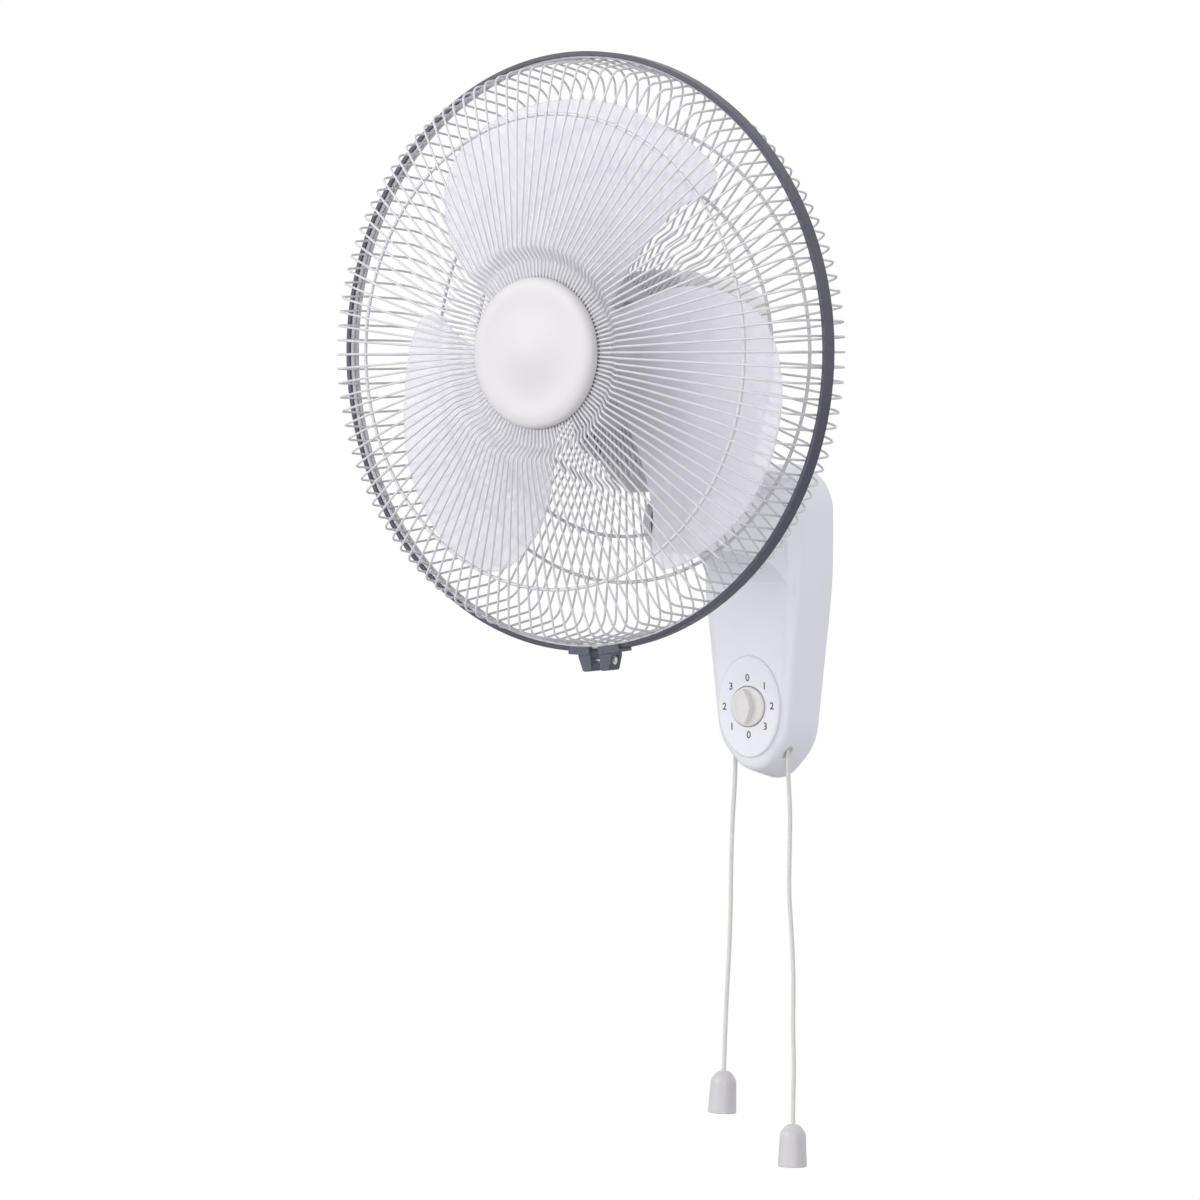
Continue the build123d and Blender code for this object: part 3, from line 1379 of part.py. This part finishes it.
with BuildPart(Plane.XY.offset(-32)) as capacitor:
    with Locations((-26, back_of_parts, 0)):
        Box(20, 15, 40, align=on_cover)
    fillet(capacitor.edges().filter_by(Axis.Z), 2)
capacitor.part.label = "run_capacitor"
export_step(capacitor.part, "parts/run_capacitor.step")

with BuildPart(Plane.XY.offset(-32)) as terminal_block:
    with Locations((24, back_of_parts, 0)):
        Box(16, 13, 38, align=on_cover)
    with BuildSketch(front_view(cover_face_depth + 13.1)):
        with Locations((24, -13)):
            with GridLocations(8, 9, 2, 4):
                Circle(2.4)
    extrude(amount=-7, mode=Mode.SUBTRACT)
terminal_block.part.label = "terminal_block"
export_step(terminal_block.part, "parts/terminal_block.step")

# ================================================================== pull cords
with BuildPart() as cord_eyelets:
    with Locations((cord_x, -cord_depth, eyelet_top), (-cord_x, -cord_depth, eyelet_top)):
        Cylinder(eyelet_outer, eyelet_top - base_bottom, align=hang)
    add(base_block(eyelet_sunk), mode=Mode.INTERSECT)
    with Locations((cord_x, -cord_depth, eyelet_top), (-cord_x, -cord_depth, eyelet_top)):
        Cylinder(eyelet_bore, 2 * (eyelet_top - base_bottom), mode=Mode.SUBTRACT)
cord_eyelets.part.label = "cord_eyelets"
export_step(cord_eyelets.part, "parts/cord_eyelets.step")

# routes of the two cords, from the slider to inside the pull
swing_route = [
    (-24.5, -22.0, slider_bottom), (-24.5, -22.0, -117.0), (-26.8, -22.5, -152.0),
    (-29.0, -21.8, -186.0), (-29.6, -21.4, -222.0), (-30.4, -22.2, -258.0),
    (-32.6, -22.6, -294.0), (-34.8, -22.0, -328.0), (-36.2, -21.8, -362.5),
]
speed_route = [
    (24.5, -22.0, slider_bottom), (24.5, -22.0, -117.0), (27.0, -21.6, -150.0),
    (26.6, -22.2, -184.0), (26.2, -22.8, -214.0), (28.8, -22.3, -248.0), (30.0, -21.5, -284.0),
    (29.4, -21.8, -318.0), (31.0, -22.4, -350.0), (29.8, -22.2, -378.0), (29.6, -22.0, -401.0),
]


def corner_radii(route):
    """The largest bend that both runs at each corner allow, 0.45 of the shorter run."""
    radii = []
    for before, here, after in zip(route, route[1:], route[2:]):
        run_in = Vector(here) - Vector(before)
        run_out = Vector(after) - Vector(here)
        half_turn = radians(run_in.get_angle(run_out) / 2)
        radii.append(0.45 * min(run_in.length, run_out.length) / tan(half_turn))
    return radii


def cord_along(route):
    """A round cord along straight runs joined by tangent arcs."""
    radii = corner_radii(route)
    with BuildPart() as cord:
        with BuildLine():
            path = FilletPolyline(*route, radius=radii)
        with BuildSketch(Plane(origin=path @ 0, z_dir=path % 0)):
            Circle(cord_diameter / 2)
        sweep(path=path)
    section = pi * cord_diameter**2 / 4
    print("cord radii", [round(r) for r in radii], "length", round(path.length, 1))
    print("volume / (section x length)", round(cord.part.volume / section / path.length, 4))
    return cord


speed_cord = cord_along(speed_route)
speed_cord.part.label = "speed_cord"
export_step(speed_cord.part, "parts/speed_cord.step")
swing_cord = cord_along(swing_route)
swing_cord.part.label = "swing_cord"
export_step(swing_cord.part, "parts/swing_cord.step")


def cord_pull(route, lean):
    """A thimble shaped pull on a cord's end, leaning by some degrees to the left."""
    end = Vector(route[-1])
    down = Vector(-sin(radians(lean)), 0, -cos(radians(lean)))
    top = end - down * cord_in_pull
    with BuildPart() as pull:
        with BuildSketch(Plane(origin=top, x_dir=down.cross(Vector(0, 1, 0)), z_dir=(0, 1, 0))):
            with BuildLine():
                Line((0, 0), (pull_crown, 0))
                Spline(
                    (pull_crown, 0), (0.7 * pull_shoulder, 0.32 * pull_dome),
                    (pull_shoulder, pull_dome), tangents=((1, 0.1), (0.05, 1)),
                )
                Polyline(
                    (pull_shoulder, pull_dome), (pull_mouth, pull_height - pull_edge),
                    (pull_mouth - pull_edge, pull_height), (pull_mouth - pull_wall, pull_height),
                    (pull_mouth - pull_wall - 1, pull_height - pull_recess),
                    (0, pull_height - pull_recess), (0, 0),
                )
            make_face()
        revolve(axis=Axis(top, down))
    return pull


speed_pull = cord_pull(speed_route, pull_lean / 3)
speed_pull.part.label = "speed_pull"
export_step(speed_pull.part, "parts/speed_pull.step")
swing_pull = cord_pull(swing_route, pull_lean)
swing_pull.part.label = "swing_pull"
export_step(swing_pull.part, "parts/swing_pull.step")
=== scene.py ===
import json
import math

import bpy
from mathutils import Matrix, Vector


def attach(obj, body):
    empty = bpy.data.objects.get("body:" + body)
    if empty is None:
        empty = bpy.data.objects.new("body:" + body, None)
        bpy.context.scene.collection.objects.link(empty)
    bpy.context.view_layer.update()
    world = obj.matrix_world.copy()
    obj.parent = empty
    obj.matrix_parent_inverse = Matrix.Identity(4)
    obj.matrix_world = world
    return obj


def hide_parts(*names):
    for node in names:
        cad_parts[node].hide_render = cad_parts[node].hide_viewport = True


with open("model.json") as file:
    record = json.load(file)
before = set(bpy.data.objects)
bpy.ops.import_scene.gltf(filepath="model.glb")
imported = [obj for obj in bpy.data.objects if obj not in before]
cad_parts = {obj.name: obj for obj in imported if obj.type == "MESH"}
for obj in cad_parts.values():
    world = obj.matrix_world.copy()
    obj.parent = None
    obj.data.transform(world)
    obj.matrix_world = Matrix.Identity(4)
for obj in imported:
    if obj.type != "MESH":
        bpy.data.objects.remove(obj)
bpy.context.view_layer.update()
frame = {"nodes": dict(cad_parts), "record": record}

MM = 0.001
WHITE = (1, 1, 1, 1)
nodes = frame["nodes"]
bpy.context.scene.view_settings.view_transform = "Standard"


def placed(name, data):
    """A new object in the scene that shows the data."""
    obj = bpy.data.objects.new(name, data)
    bpy.context.scene.collection.objects.link(obj)
    return obj


# ---------------------------------------------------------------- camera
# fitted to the photograph's ring, base edges and dial: level, in front and on the +X side
CAMERA_PLACE = (1.7929, -2.6653, -0.0974)
CAMERA_TURN = 36.7               # degrees
SENSOR_WIDTH = 36.0              # mm
LENS = 121.98                    # mm
SHIFT = (0.0164, 0.119)
CLIP_END = 60.0                  # m


def make_camera():
    data = bpy.data.cameras.new("camera")
    data.sensor_width = SENSOR_WIDTH
    data.lens = LENS
    data.shift_x, data.shift_y = SHIFT
    data.clip_end = CLIP_END
    cam = placed("camera", data)
    cam.location = CAMERA_PLACE
    cam.rotation_euler = (math.radians(90), 0, math.radians(CAMERA_TURN))
    bpy.context.scene.camera = cam


make_camera()


# ---------------------------------------------------------------- node helpers
class Tree:
    """A small builder for node materials."""

    def __init__(self, tree):
        self.tree = tree
        tree.nodes.clear()

    def add(self, kind, inputs=None, **props):
        """A new node. An input is a number, a socket, or a node, which gives its first output."""
        node = self.tree.nodes.new(kind)
        for key, value in props.items():
            setattr(node, key, value)
        for key, value in (inputs or {}).items():
            self.put(node.inputs[key], value)
        return node

    def put(self, socket, value):
        if isinstance(value, bpy.types.NodeSocket):
            self.tree.links.new(value, socket)
        elif isinstance(value, bpy.types.Node):
            self.tree.links.new(value.outputs[0], socket)
        else:
            socket.default_value = value


def material(name):
    mat = bpy.data.materials.new(name)
    mat.use_nodes = True
    return mat, Tree(mat.node_tree)


def shade(rgb, k):
    return (rgb[0] * k, rgb[1] * k, rgb[2] * k, 1)


# ---------------------------------------------------------------- finishes
TONE_FROM, TONE_TO = 0.35, 0.65      # where the tone noise is darkest and palest
PALE_SHARE = 0.5                     # of the tone's swing goes to the pale side
GRAIN_DEPTH_UNIT = 0.001             # m
RIPPLE_DEPTH_UNIT = 0.004
DUST_SCALE = 240
DUST_FROM, DUST_TO = 0.52, 0.75
DUST_COLOUR = (0.6, 0.59, 0.57, 1)


def finish_of(name, rgb, rough, *, tone=0.04, tone_scale=14, grain=900, grain_depth=0.03,
              ripple=60, ripple_depth=0.02, rough_swing=0.06, dust=0.0, stretch=(1, 1, 1),
              **surface):
    """A moulded, painted or plated finish: tone drift, fine grain, slow ripple, uneven gloss."""
    mat, t = material(name)
    place = t.add("ShaderNodeTexCoord")
    mapped = t.add("ShaderNodeMapping", {"Vector": place.outputs["Object"], "Scale": stretch})
    where = mapped.outputs["Vector"]
    drift = t.add("ShaderNodeTexNoise", {"Vector": where, "Scale": tone_scale, "Detail": 4})
    colour = t.add("ShaderNodeValToRGB", {"Fac": drift.outputs["Fac"]})
    ramp = colour.color_ramp.elements
    ramp[0].position, ramp[0].color = TONE_FROM, shade(rgb, 1 - tone)
    ramp[1].position, ramp[1].color = TONE_TO, shade(rgb, 1 + tone * PALE_SHARE)
    base = colour.outputs["Color"]
    if dust:
        specks = t.add("ShaderNodeTexNoise", {"Vector": where, "Scale": DUST_SCALE, "Detail": 6})
        film = t.add("ShaderNodeMapRange", {"Value": specks.outputs["Fac"],
                                            "From Min": DUST_FROM, "From Max": DUST_TO,
                                            "To Max": dust})
        mix = t.add("ShaderNodeMix", {"Factor": film.outputs["Result"], "A": base,
                                      "B": DUST_COLOUR}, data_type="RGBA")
        base = mix.outputs["Result"]
    fine = t.add("ShaderNodeTexNoise", {"Vector": where, "Scale": grain, "Detail": 3})
    slow = t.add("ShaderNodeTexNoise", {"Vector": where, "Scale": ripple, "Detail": 2})
    grained = t.add("ShaderNodeBump", {"Height": fine.outputs["Fac"], "Strength": grain_depth,
                                       "Distance": GRAIN_DEPTH_UNIT})
    rippled = t.add("ShaderNodeBump", {"Height": slow.outputs["Fac"], "Strength": ripple_depth,
                                       "Distance": RIPPLE_DEPTH_UNIT,
                                       "Normal": grained.outputs["Normal"]})
    gloss = t.add("ShaderNodeMapRange", {"Value": slow.outputs["Fac"],
                                         "To Min": rough - rough_swing,
                                         "To Max": rough + rough_swing})
    bsdf = t.add("ShaderNodeBsdfPrincipled", {"Base Color": base,
                                              "Roughness": gloss.outputs["Result"],
                                              "Normal": rippled.outputs["Normal"]})
    for key, value in surface.items():
        bsdf.inputs[key.replace("_", " ")].default_value = value
    t.add("ShaderNodeOutputMaterial", {"Surface": bsdf})
    mat.diffuse_color = (*rgb, 1)
    return mat


LOOKS = {
    "wire_white": dict(rgb=(0.60, 0.59, 0.62), rough=0.30, grain=1500, ripple=220,
                       ripple_depth=0.10, tone=0.05, tone_scale=40),
    "ring_grey": dict(rgb=(0.070, 0.071, 0.096), rough=0.36, grain=1300, grain_depth=0.10,
                      ripple=90, tone=0.10, tone_scale=25, dust=0.02, Specular_IOR_Level=0.3),
    "clip_dark": dict(rgb=(0.075, 0.082, 0.115), rough=0.26, grain=1200, grain_depth=0.06,
                      ripple=150, tone=0.10, dust=0.02),
    "zinc_steel": dict(rgb=(0.62, 0.60, 0.55), rough=0.34, Metallic=1.0, tone=0.14,
                       tone_scale=160, grain=2400, grain_depth=0.12, rough_swing=0.12),
    "cap_white": dict(rgb=(0.62, 0.605, 0.62), rough=0.32, grain=500, grain_depth=0.01,
                      ripple=26, ripple_depth=0.03, tone=0.015, rough_swing=0.03,
                      Specular_IOR_Level=0.3),
    # milky: the light scatters inside, and the wires behind show through faintly
    "blade_plastic": dict(rgb=(0.80, 0.78, 0.845), rough=0.36, grain=700, grain_depth=0.02,
                          ripple=22, ripple_depth=0.05, tone=0.035, Alpha=0.55,
                          Subsurface_Weight=0.95, Subsurface_Radius=(1, 1, 1),
                          Subsurface_Scale=0.006),
    "stack_steel": dict(rgb=(0.24, 0.24, 0.25), rough=0.45, Metallic=0.9, tone=0.2,
                        tone_scale=80, grain=1400, grain_depth=0.2, stretch=(1, 14, 1)),
    "copper_winding": dict(rgb=(0.42, 0.16, 0.06), rough=0.35, Metallic=0.8, tone=0.2,
                           tone_scale=120, grain=1500, grain_depth=0.5),
    "bush_brass": dict(rgb=(0.62, 0.44, 0.18), rough=0.3, Metallic=1.0, tone=0.1, grain=1800,
                       grain_depth=0.1),
    "cast_aluminium": dict(rgb=(0.52, 0.52, 0.53), rough=0.5, Metallic=0.9, tone=0.1, grain=700,
                           grain_depth=0.35),
    "cover_grey": dict(rgb=(0.58, 0.57, 0.605), rough=0.42, grain=1100, grain_depth=0.12,
                       tone=0.06, dust=0.05),
    "cover_white": dict(rgb=(0.80, 0.785, 0.785), rough=0.34, grain=1000, grain_depth=0.06,
                        tone=0.02, dust=0.02),
    "neck_grey": dict(rgb=(0.17, 0.17, 0.19), rough=0.38, grain=1100, grain_depth=0.12,
                      tone=0.08),
    "washer_nylon": dict(rgb=(0.72, 0.70, 0.64), rough=0.45, grain=900, grain_depth=0.08),
    "base_white": dict(rgb=(0.765, 0.765, 0.812), rough=0.36, grain=1300, grain_depth=0.05,
                       ripple=34, ripple_depth=0.03, tone=0.015, tone_scale=9, dust=0.012),
    "grommet_rubber": dict(rgb=(0.03, 0.03, 0.03), rough=0.6, grain=900, grain_depth=0.3),
    "switch_black": dict(rgb=(0.035, 0.035, 0.04), rough=0.45, grain=1100, grain_depth=0.2),
    "eyelet_grey": dict(rgb=(0.55, 0.55, 0.57), rough=0.3, grain=1200, grain_depth=0.05),
    "pull_grey": dict(rgb=(0.56, 0.535, 0.555), rough=0.33, grain=1200, grain_depth=0.06,
                      ripple=70, ripple_depth=0.05, tone=0.03),
    "knob_white": dict(rgb=(0.72, 0.70, 0.685), rough=0.28, grain=1300, grain_depth=0.05,
                       tone=0.02),
    "ink_black": dict(rgb=(0.02, 0.02, 0.022), rough=0.5, grain=2500, grain_depth=0.2, tone=0.2),
}
FINISH = {name: finish_of(name, **look) for name, look in LOOKS.items()}
SLOT = {s["node"]: s["material_slot"] for s in frame["record"]["subparts"]}


def dress(obj, finish):
    obj.data.materials.clear()
    obj.data.materials.append(FINISH[finish])


# the knob is a warmer white than the base, whose slot it shares
for name, obj in nodes.items():
    slot = SLOT[name]
    if name == "speed_knob":
        slot = "knob_white"
    if slot in FINISH:
        dress(obj, slot)


# ---------------------------------------------------------------- pull cords
CORD_RADIUS = 1.8 * MM
CORD_STEP = 0.5 * MM
SPLINE_STEPS = 40                # points that the spline has between two of the route's
BRAID_AROUND = 32                # points round the cord
BRAID_STRANDS = 8
BRAID_PITCH = 0.0095             # m, one strand's turn
BRAID_GAP, BRAID_RISE = 0.82, 0.18   # shares of the radius: in a gap, and added on a crown
BRAID_FLATNESS = 0.6             # below 1 the crowns are broad and the gaps narrow
# painted shade: the dark colour of the gaps between strands stands for the shade in them; the
# crowns keep the cord's pale colour
GAP_PAINTED_SHADE = (0.16, 0.155, 0.145, 1)
CROWN_COLOUR = (0.74, 0.72, 0.69, 1)
CROWN_FROM = 0.55


def cord_material():
    """Bleached braid: each strand's crown keeps the cord's pale colour, and the gaps between
    strands are darkened with painted shade.
    """
    mat, t = material("cord_white")
    braid = t.add("ShaderNodeAttribute", attribute_name="braid")
    # the braid's relief sets the colour: painted shade in the gaps, the cord's pale colour on the
    # crowns
    colour = t.add("ShaderNodeValToRGB", {"Fac": braid.outputs["Fac"]})
    ramp = colour.color_ramp.elements
    ramp[0].color = GAP_PAINTED_SHADE
    ramp[1].position, ramp[1].color = CROWN_FROM, CROWN_COLOUR
    place = t.add("ShaderNodeTexCoord")
    fibre = t.add("ShaderNodeTexNoise", {"Vector": place.outputs["Object"], "Scale": 4200,
                                         "Detail": 2})
    bump = t.add("ShaderNodeBump", {"Height": fibre.outputs["Fac"], "Strength": 0.35,
                                    "Distance": 0.0003})
    bsdf = t.add("ShaderNodeBsdfPrincipled", {"Base Color": colour.outputs["Color"],
                                              "Roughness": 0.75, "Sheen Weight": 0.25,
                                              "Normal": bump.outputs["Normal"]})
    t.add("ShaderNodeOutputMaterial", {"Surface": bsdf})
    mat.diffuse_color = (0.8, 0.8, 0.8, 1)
    return mat


CORD = cord_material()


def route_line(name, route):
    """The cord's centre line, read from a NURBS spline over the route's points."""
    curve = bpy.data.curves.new(name, "CURVE")
    curve.dimensions = "3D"
    curve.resolution_u = SPLINE_STEPS
    spline = curve.splines.new("NURBS")
    spline.points.add(len(route) - 1)
    for point, place in zip(spline.points, route):
        point.co = (*[c * MM for c in place], 1)
    spline.order_u = 3
    spline.use_endpoint_u = True
    holder = placed(name, curve)
    bpy.context.view_layer.update()
    mesh = bpy.data.meshes.new_from_object(holder)
    line = [v.co.copy() for v in mesh.vertices]
    bpy.data.objects.remove(holder)
    bpy.data.meshes.remove(mesh)
    return line


def even(line, step):
    """The same line with points at even steps."""
    out = [line[0].copy()]
    left = step
    for a, b in zip(line, line[1:]):
        run = (b - a).length
        done = 0.0
        while run - done > left:
            done += left
            out.append(a.lerp(b, done / run))
            left = step
        left -= run - done
    out.append(line[-1].copy())
    return out


def braid_tube(name, line):
    """A tube along a line with the relief of a round braid, strands crossing over and under."""
    verts, faces, crown = [], [], []
    around = BRAID_AROUND
    half = BRAID_STRANDS / 2
    side = Vector((1, 0, 0))
    gone = 0.0
    for i, p in enumerate(line):
        ahead = (line[min(i + 1, len(line) - 1)] - line[max(i - 1, 0)]).normalized()
        side = (side - ahead * side.dot(ahead)).normalized()
        other = ahead.cross(side)
        if i:
            gone += (p - line[i - 1]).length
        wound = 2 * math.pi * gone / BRAID_PITCH
        for k in range(around):
            turn = 2 * math.pi * k / around
            a = half * (turn + wound)
            b = half * (turn - wound)
            over = math.cos((a + b) / 2) * math.cos((a - b) / 2)
            relief = 0.5 + 0.5 * (math.cos(a) if over > 0 else math.cos(b))
            lift = relief ** BRAID_FLATNESS
            r = CORD_RADIUS * (BRAID_GAP + BRAID_RISE * lift)
            verts.append(p + (side * math.cos(turn) + other * math.sin(turn)) * r)
            crown.append(lift)
    for i in range(len(line) - 1):
        for k in range(around):
            a, b = i * around + k, i * around + (k + 1) % around
            faces.append((a, b, b + around, a + around))
    faces.append(tuple(reversed(range(around))))
    last = (len(line) - 1) * around
    faces.append(tuple(range(last, last + around)))
    mesh = bpy.data.meshes.new(name)
    mesh.from_pydata(verts, [], faces)
    attribute = mesh.attributes.new("braid", "FLOAT", "POINT")
    attribute.data.foreach_set("value", crown)
    for poly in mesh.polygons:
        poly.use_smooth = True
    mesh.materials.append(CORD)
    return placed(name, mesh)


def pull_cord(name, route, body, node):
    """A braided cord in the place of the plain one, riding with its pull."""
    line = even(route_line(name + "_line", route), CORD_STEP)
    obj = braid_tube(name, line)
    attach(obj, body)
    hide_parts(node)


# from the slider inside the base, out through the eyelet and down into the pull, in mm
SWING_ROUTE = [
    (-24.5, -22.0, -74.0), (-24.5, -22.0, -117.0), (-26.8, -22.5, -152.0),
    (-29.0, -21.8, -186.0), (-29.6, -21.4, -222.0), (-30.4, -22.2, -258.0),
    (-32.6, -22.6, -294.0), (-34.8, -22.0, -328.0), (-36.2, -21.8, -362.5),
]
SPEED_ROUTE = [
    (24.5, -22.0, -74.0), (24.5, -22.0, -117.0), (27.0, -21.6, -150.0),
    (26.6, -22.2, -184.0), (26.2, -22.8, -214.0), (28.8, -22.3, -248.0), (30.0, -21.5, -284.0),
    (29.4, -21.8, -318.0), (31.0, -22.4, -350.0), (29.8, -22.2, -378.0), (29.6, -22.0, -401.0),
]
pull_cord("swing_cord_braid", SWING_ROUTE, "swing_cord_set", "swing_cord")
pull_cord("speed_cord_braid", SPEED_ROUTE, "speed_cord_set", "speed_cord")


# ---------------------------------------------------------------- dial numbers
FRONT_LEAN = 2.4                 # degrees, of the base's front and its dial panel
FRONT_Y = -41.0                  # mm, where the front crosses the height of the origin
DIAL_UP = -69                    # mm along the front, from there to the knob's axis
PANEL_RISE = 2.6                 # mm, of the dial panel over the front
DIGITS = "01230123"              # clockwise from the top
DIGIT_TURN = 45                  # degrees from one digit to the next
DIGIT_CIRCLE = 22.3              # mm from the knob's axis
DIGIT_SIZE = 7.9 * MM
PRINT_DEPTH = 0.05 * MM
PRINT_SPREAD = 0.08 * MM         # makes the strokes as bold as the photograph's
PRINT_LIFT = 0.06                # mm


def dial_numbers():
    """Digits round the knob, as thin raised print."""
    lean = math.radians(FRONT_LEAN)
    out = Vector((0, -math.cos(lean), -math.sin(lean)))
    up = Vector((0, -math.sin(lean), math.cos(lean)))
    across = Vector((1, 0, 0))
    centre = Vector((0, FRONT_Y, 0)) * MM + up * DIAL_UP * MM + out * PANEL_RISE * MM
    turn = Matrix((across, up, out)).transposed().to_4x4()
    for step, digit in enumerate(DIGITS):
        clock = math.radians(DIGIT_TURN * step)
        text = bpy.data.curves.new(f"digit_{step}", "FONT")
        text.body = digit
        text.size = DIGIT_SIZE
        text.align_x = "CENTER"
        text.align_y = "CENTER"
        text.extrude = PRINT_DEPTH
        text.offset = PRINT_SPREAD
        holder = placed(f"digit_{step}_text", text)
        place = centre + (across * math.sin(clock) + up * math.cos(clock)) * DIGIT_CIRCLE * MM
        holder.matrix_world = Matrix.Translation(place + out * PRINT_LIFT * MM) @ turn
        bpy.context.view_layer.update()
        mesh = bpy.data.meshes.new_from_object(holder)
        mesh.transform(holder.matrix_world)
        obj = placed(f"digit_{step}", mesh)
        bpy.data.objects.remove(holder)
        dress(obj, "ink_black")
        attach(obj, "base")


dial_numbers()


# ---------------------------------------------------------------- studio
SKY_TINT = (0.95, 0.96, 1.0, 1)
REAR_FROM, REAR_TO = 0.2, 0.9        # the direction's Y, which grows towards the back
FRONT_GLOW, REAR_GLOW = 0.55, 1.7    # the sky's strength, more of it behind the blades
FLOOR_TONES = (0.52, 0.56)
FLOOR_GRAIN = 30.0
FLOOR_HALF = 9.0                     # m, half the floor's side
FLOOR_HEIGHT = -1.2                  # m, below the cords' pulls


def sky():
    """White where the camera, a gloss or a clear piece sees it, and soft daylight elsewhere."""
    world = bpy.data.worlds.new("studio")
    bpy.context.scene.world = world
    world.use_nodes = True
    t = Tree(world.node_tree)
    path = t.add("ShaderNodeLightPath")
    seen = path.outputs["Is Camera Ray"]
    for ray in ("Is Glossy Ray", "Is Transmission Ray"):
        seen = t.add("ShaderNodeMath", {0: seen, 1: path.outputs[ray]}, operation="MAXIMUM")
    place = t.add("ShaderNodeTexCoord")
    ahead = t.add("ShaderNodeSeparateXYZ", {"Vector": place.outputs["Generated"]})
    glow = t.add("ShaderNodeMapRange", {"Value": ahead.outputs["Y"],
                                        "From Min": REAR_FROM, "From Max": REAR_TO,
                                        "To Min": FRONT_GLOW, "To Max": REAR_GLOW})
    soft = t.add("ShaderNodeBackground", {"Color": SKY_TINT, "Strength": glow.outputs["Result"]})
    white = t.add("ShaderNodeBackground", {"Color": WHITE, "Strength": 1.0})
    mix = t.add("ShaderNodeMixShader", {0: seen, 1: soft, 2: white})
    t.add("ShaderNodeOutputWorld", {"Surface": mix})


def floor():
    """A pale matte floor that the camera sees as white."""
    mat, t = material("floor_pale")
    path = t.add("ShaderNodeLightPath")
    grain = t.add("ShaderNodeTexNoise", {"Scale": FLOOR_GRAIN})
    tone = t.add("ShaderNodeMapRange", {"Value": grain.outputs["Fac"],
                                        "To Min": FLOOR_TONES[0], "To Max": FLOOR_TONES[1]})
    matte = t.add("ShaderNodeBsdfDiffuse", {"Color": tone.outputs["Result"]})
    white = t.add("ShaderNodeEmission", {"Color": WHITE, "Strength": 1.0})
    mix = t.add("ShaderNodeMixShader", {0: path.outputs["Is Camera Ray"], 1: matte, 2: white})
    t.add("ShaderNodeOutputMaterial", {"Surface": mix})
    mesh = bpy.data.meshes.new("floor")
    half = FLOOR_HALF
    mesh.from_pydata([(-half, -half, 0), (half, -half, 0), (half, half, 0), (-half, half, 0)],
                     [], [(0, 1, 2, 3)])
    mesh.materials.append(mat)
    plane = placed("floor", mesh)
    plane.location = (0, 0, FLOOR_HEIGHT)


def softbox(name, place, aim, width, height, power):
    data = bpy.data.lights.new(name, "AREA")
    data.shape = "RECTANGLE"
    data.size = width
    data.size_y = height
    data.energy = power
    lamp = placed(name, data)
    lamp.location = place
    lamp.rotation_euler = (Vector(aim) - Vector(place)).to_track_quat("-Z", "Y").to_euler()


LAMPS = [
    # name, place, aim, width, height, watts
    ("key_left", (-1.7, -3.3, 1.3), (0, -0.15, 0.05), 3.4, 3.0, 98),
    ("fill_right", (2.6, -2.9, 0.2), (0, -0.15, 0.05), 2.6, 2.4, 45),
    ("top", (0.2, -0.6, 2.5), (0, -0.15, 0.1), 2.2, 1.6, 8),
]

sky()
floor()
for lamp in LAMPS:
    softbox(*lamp)
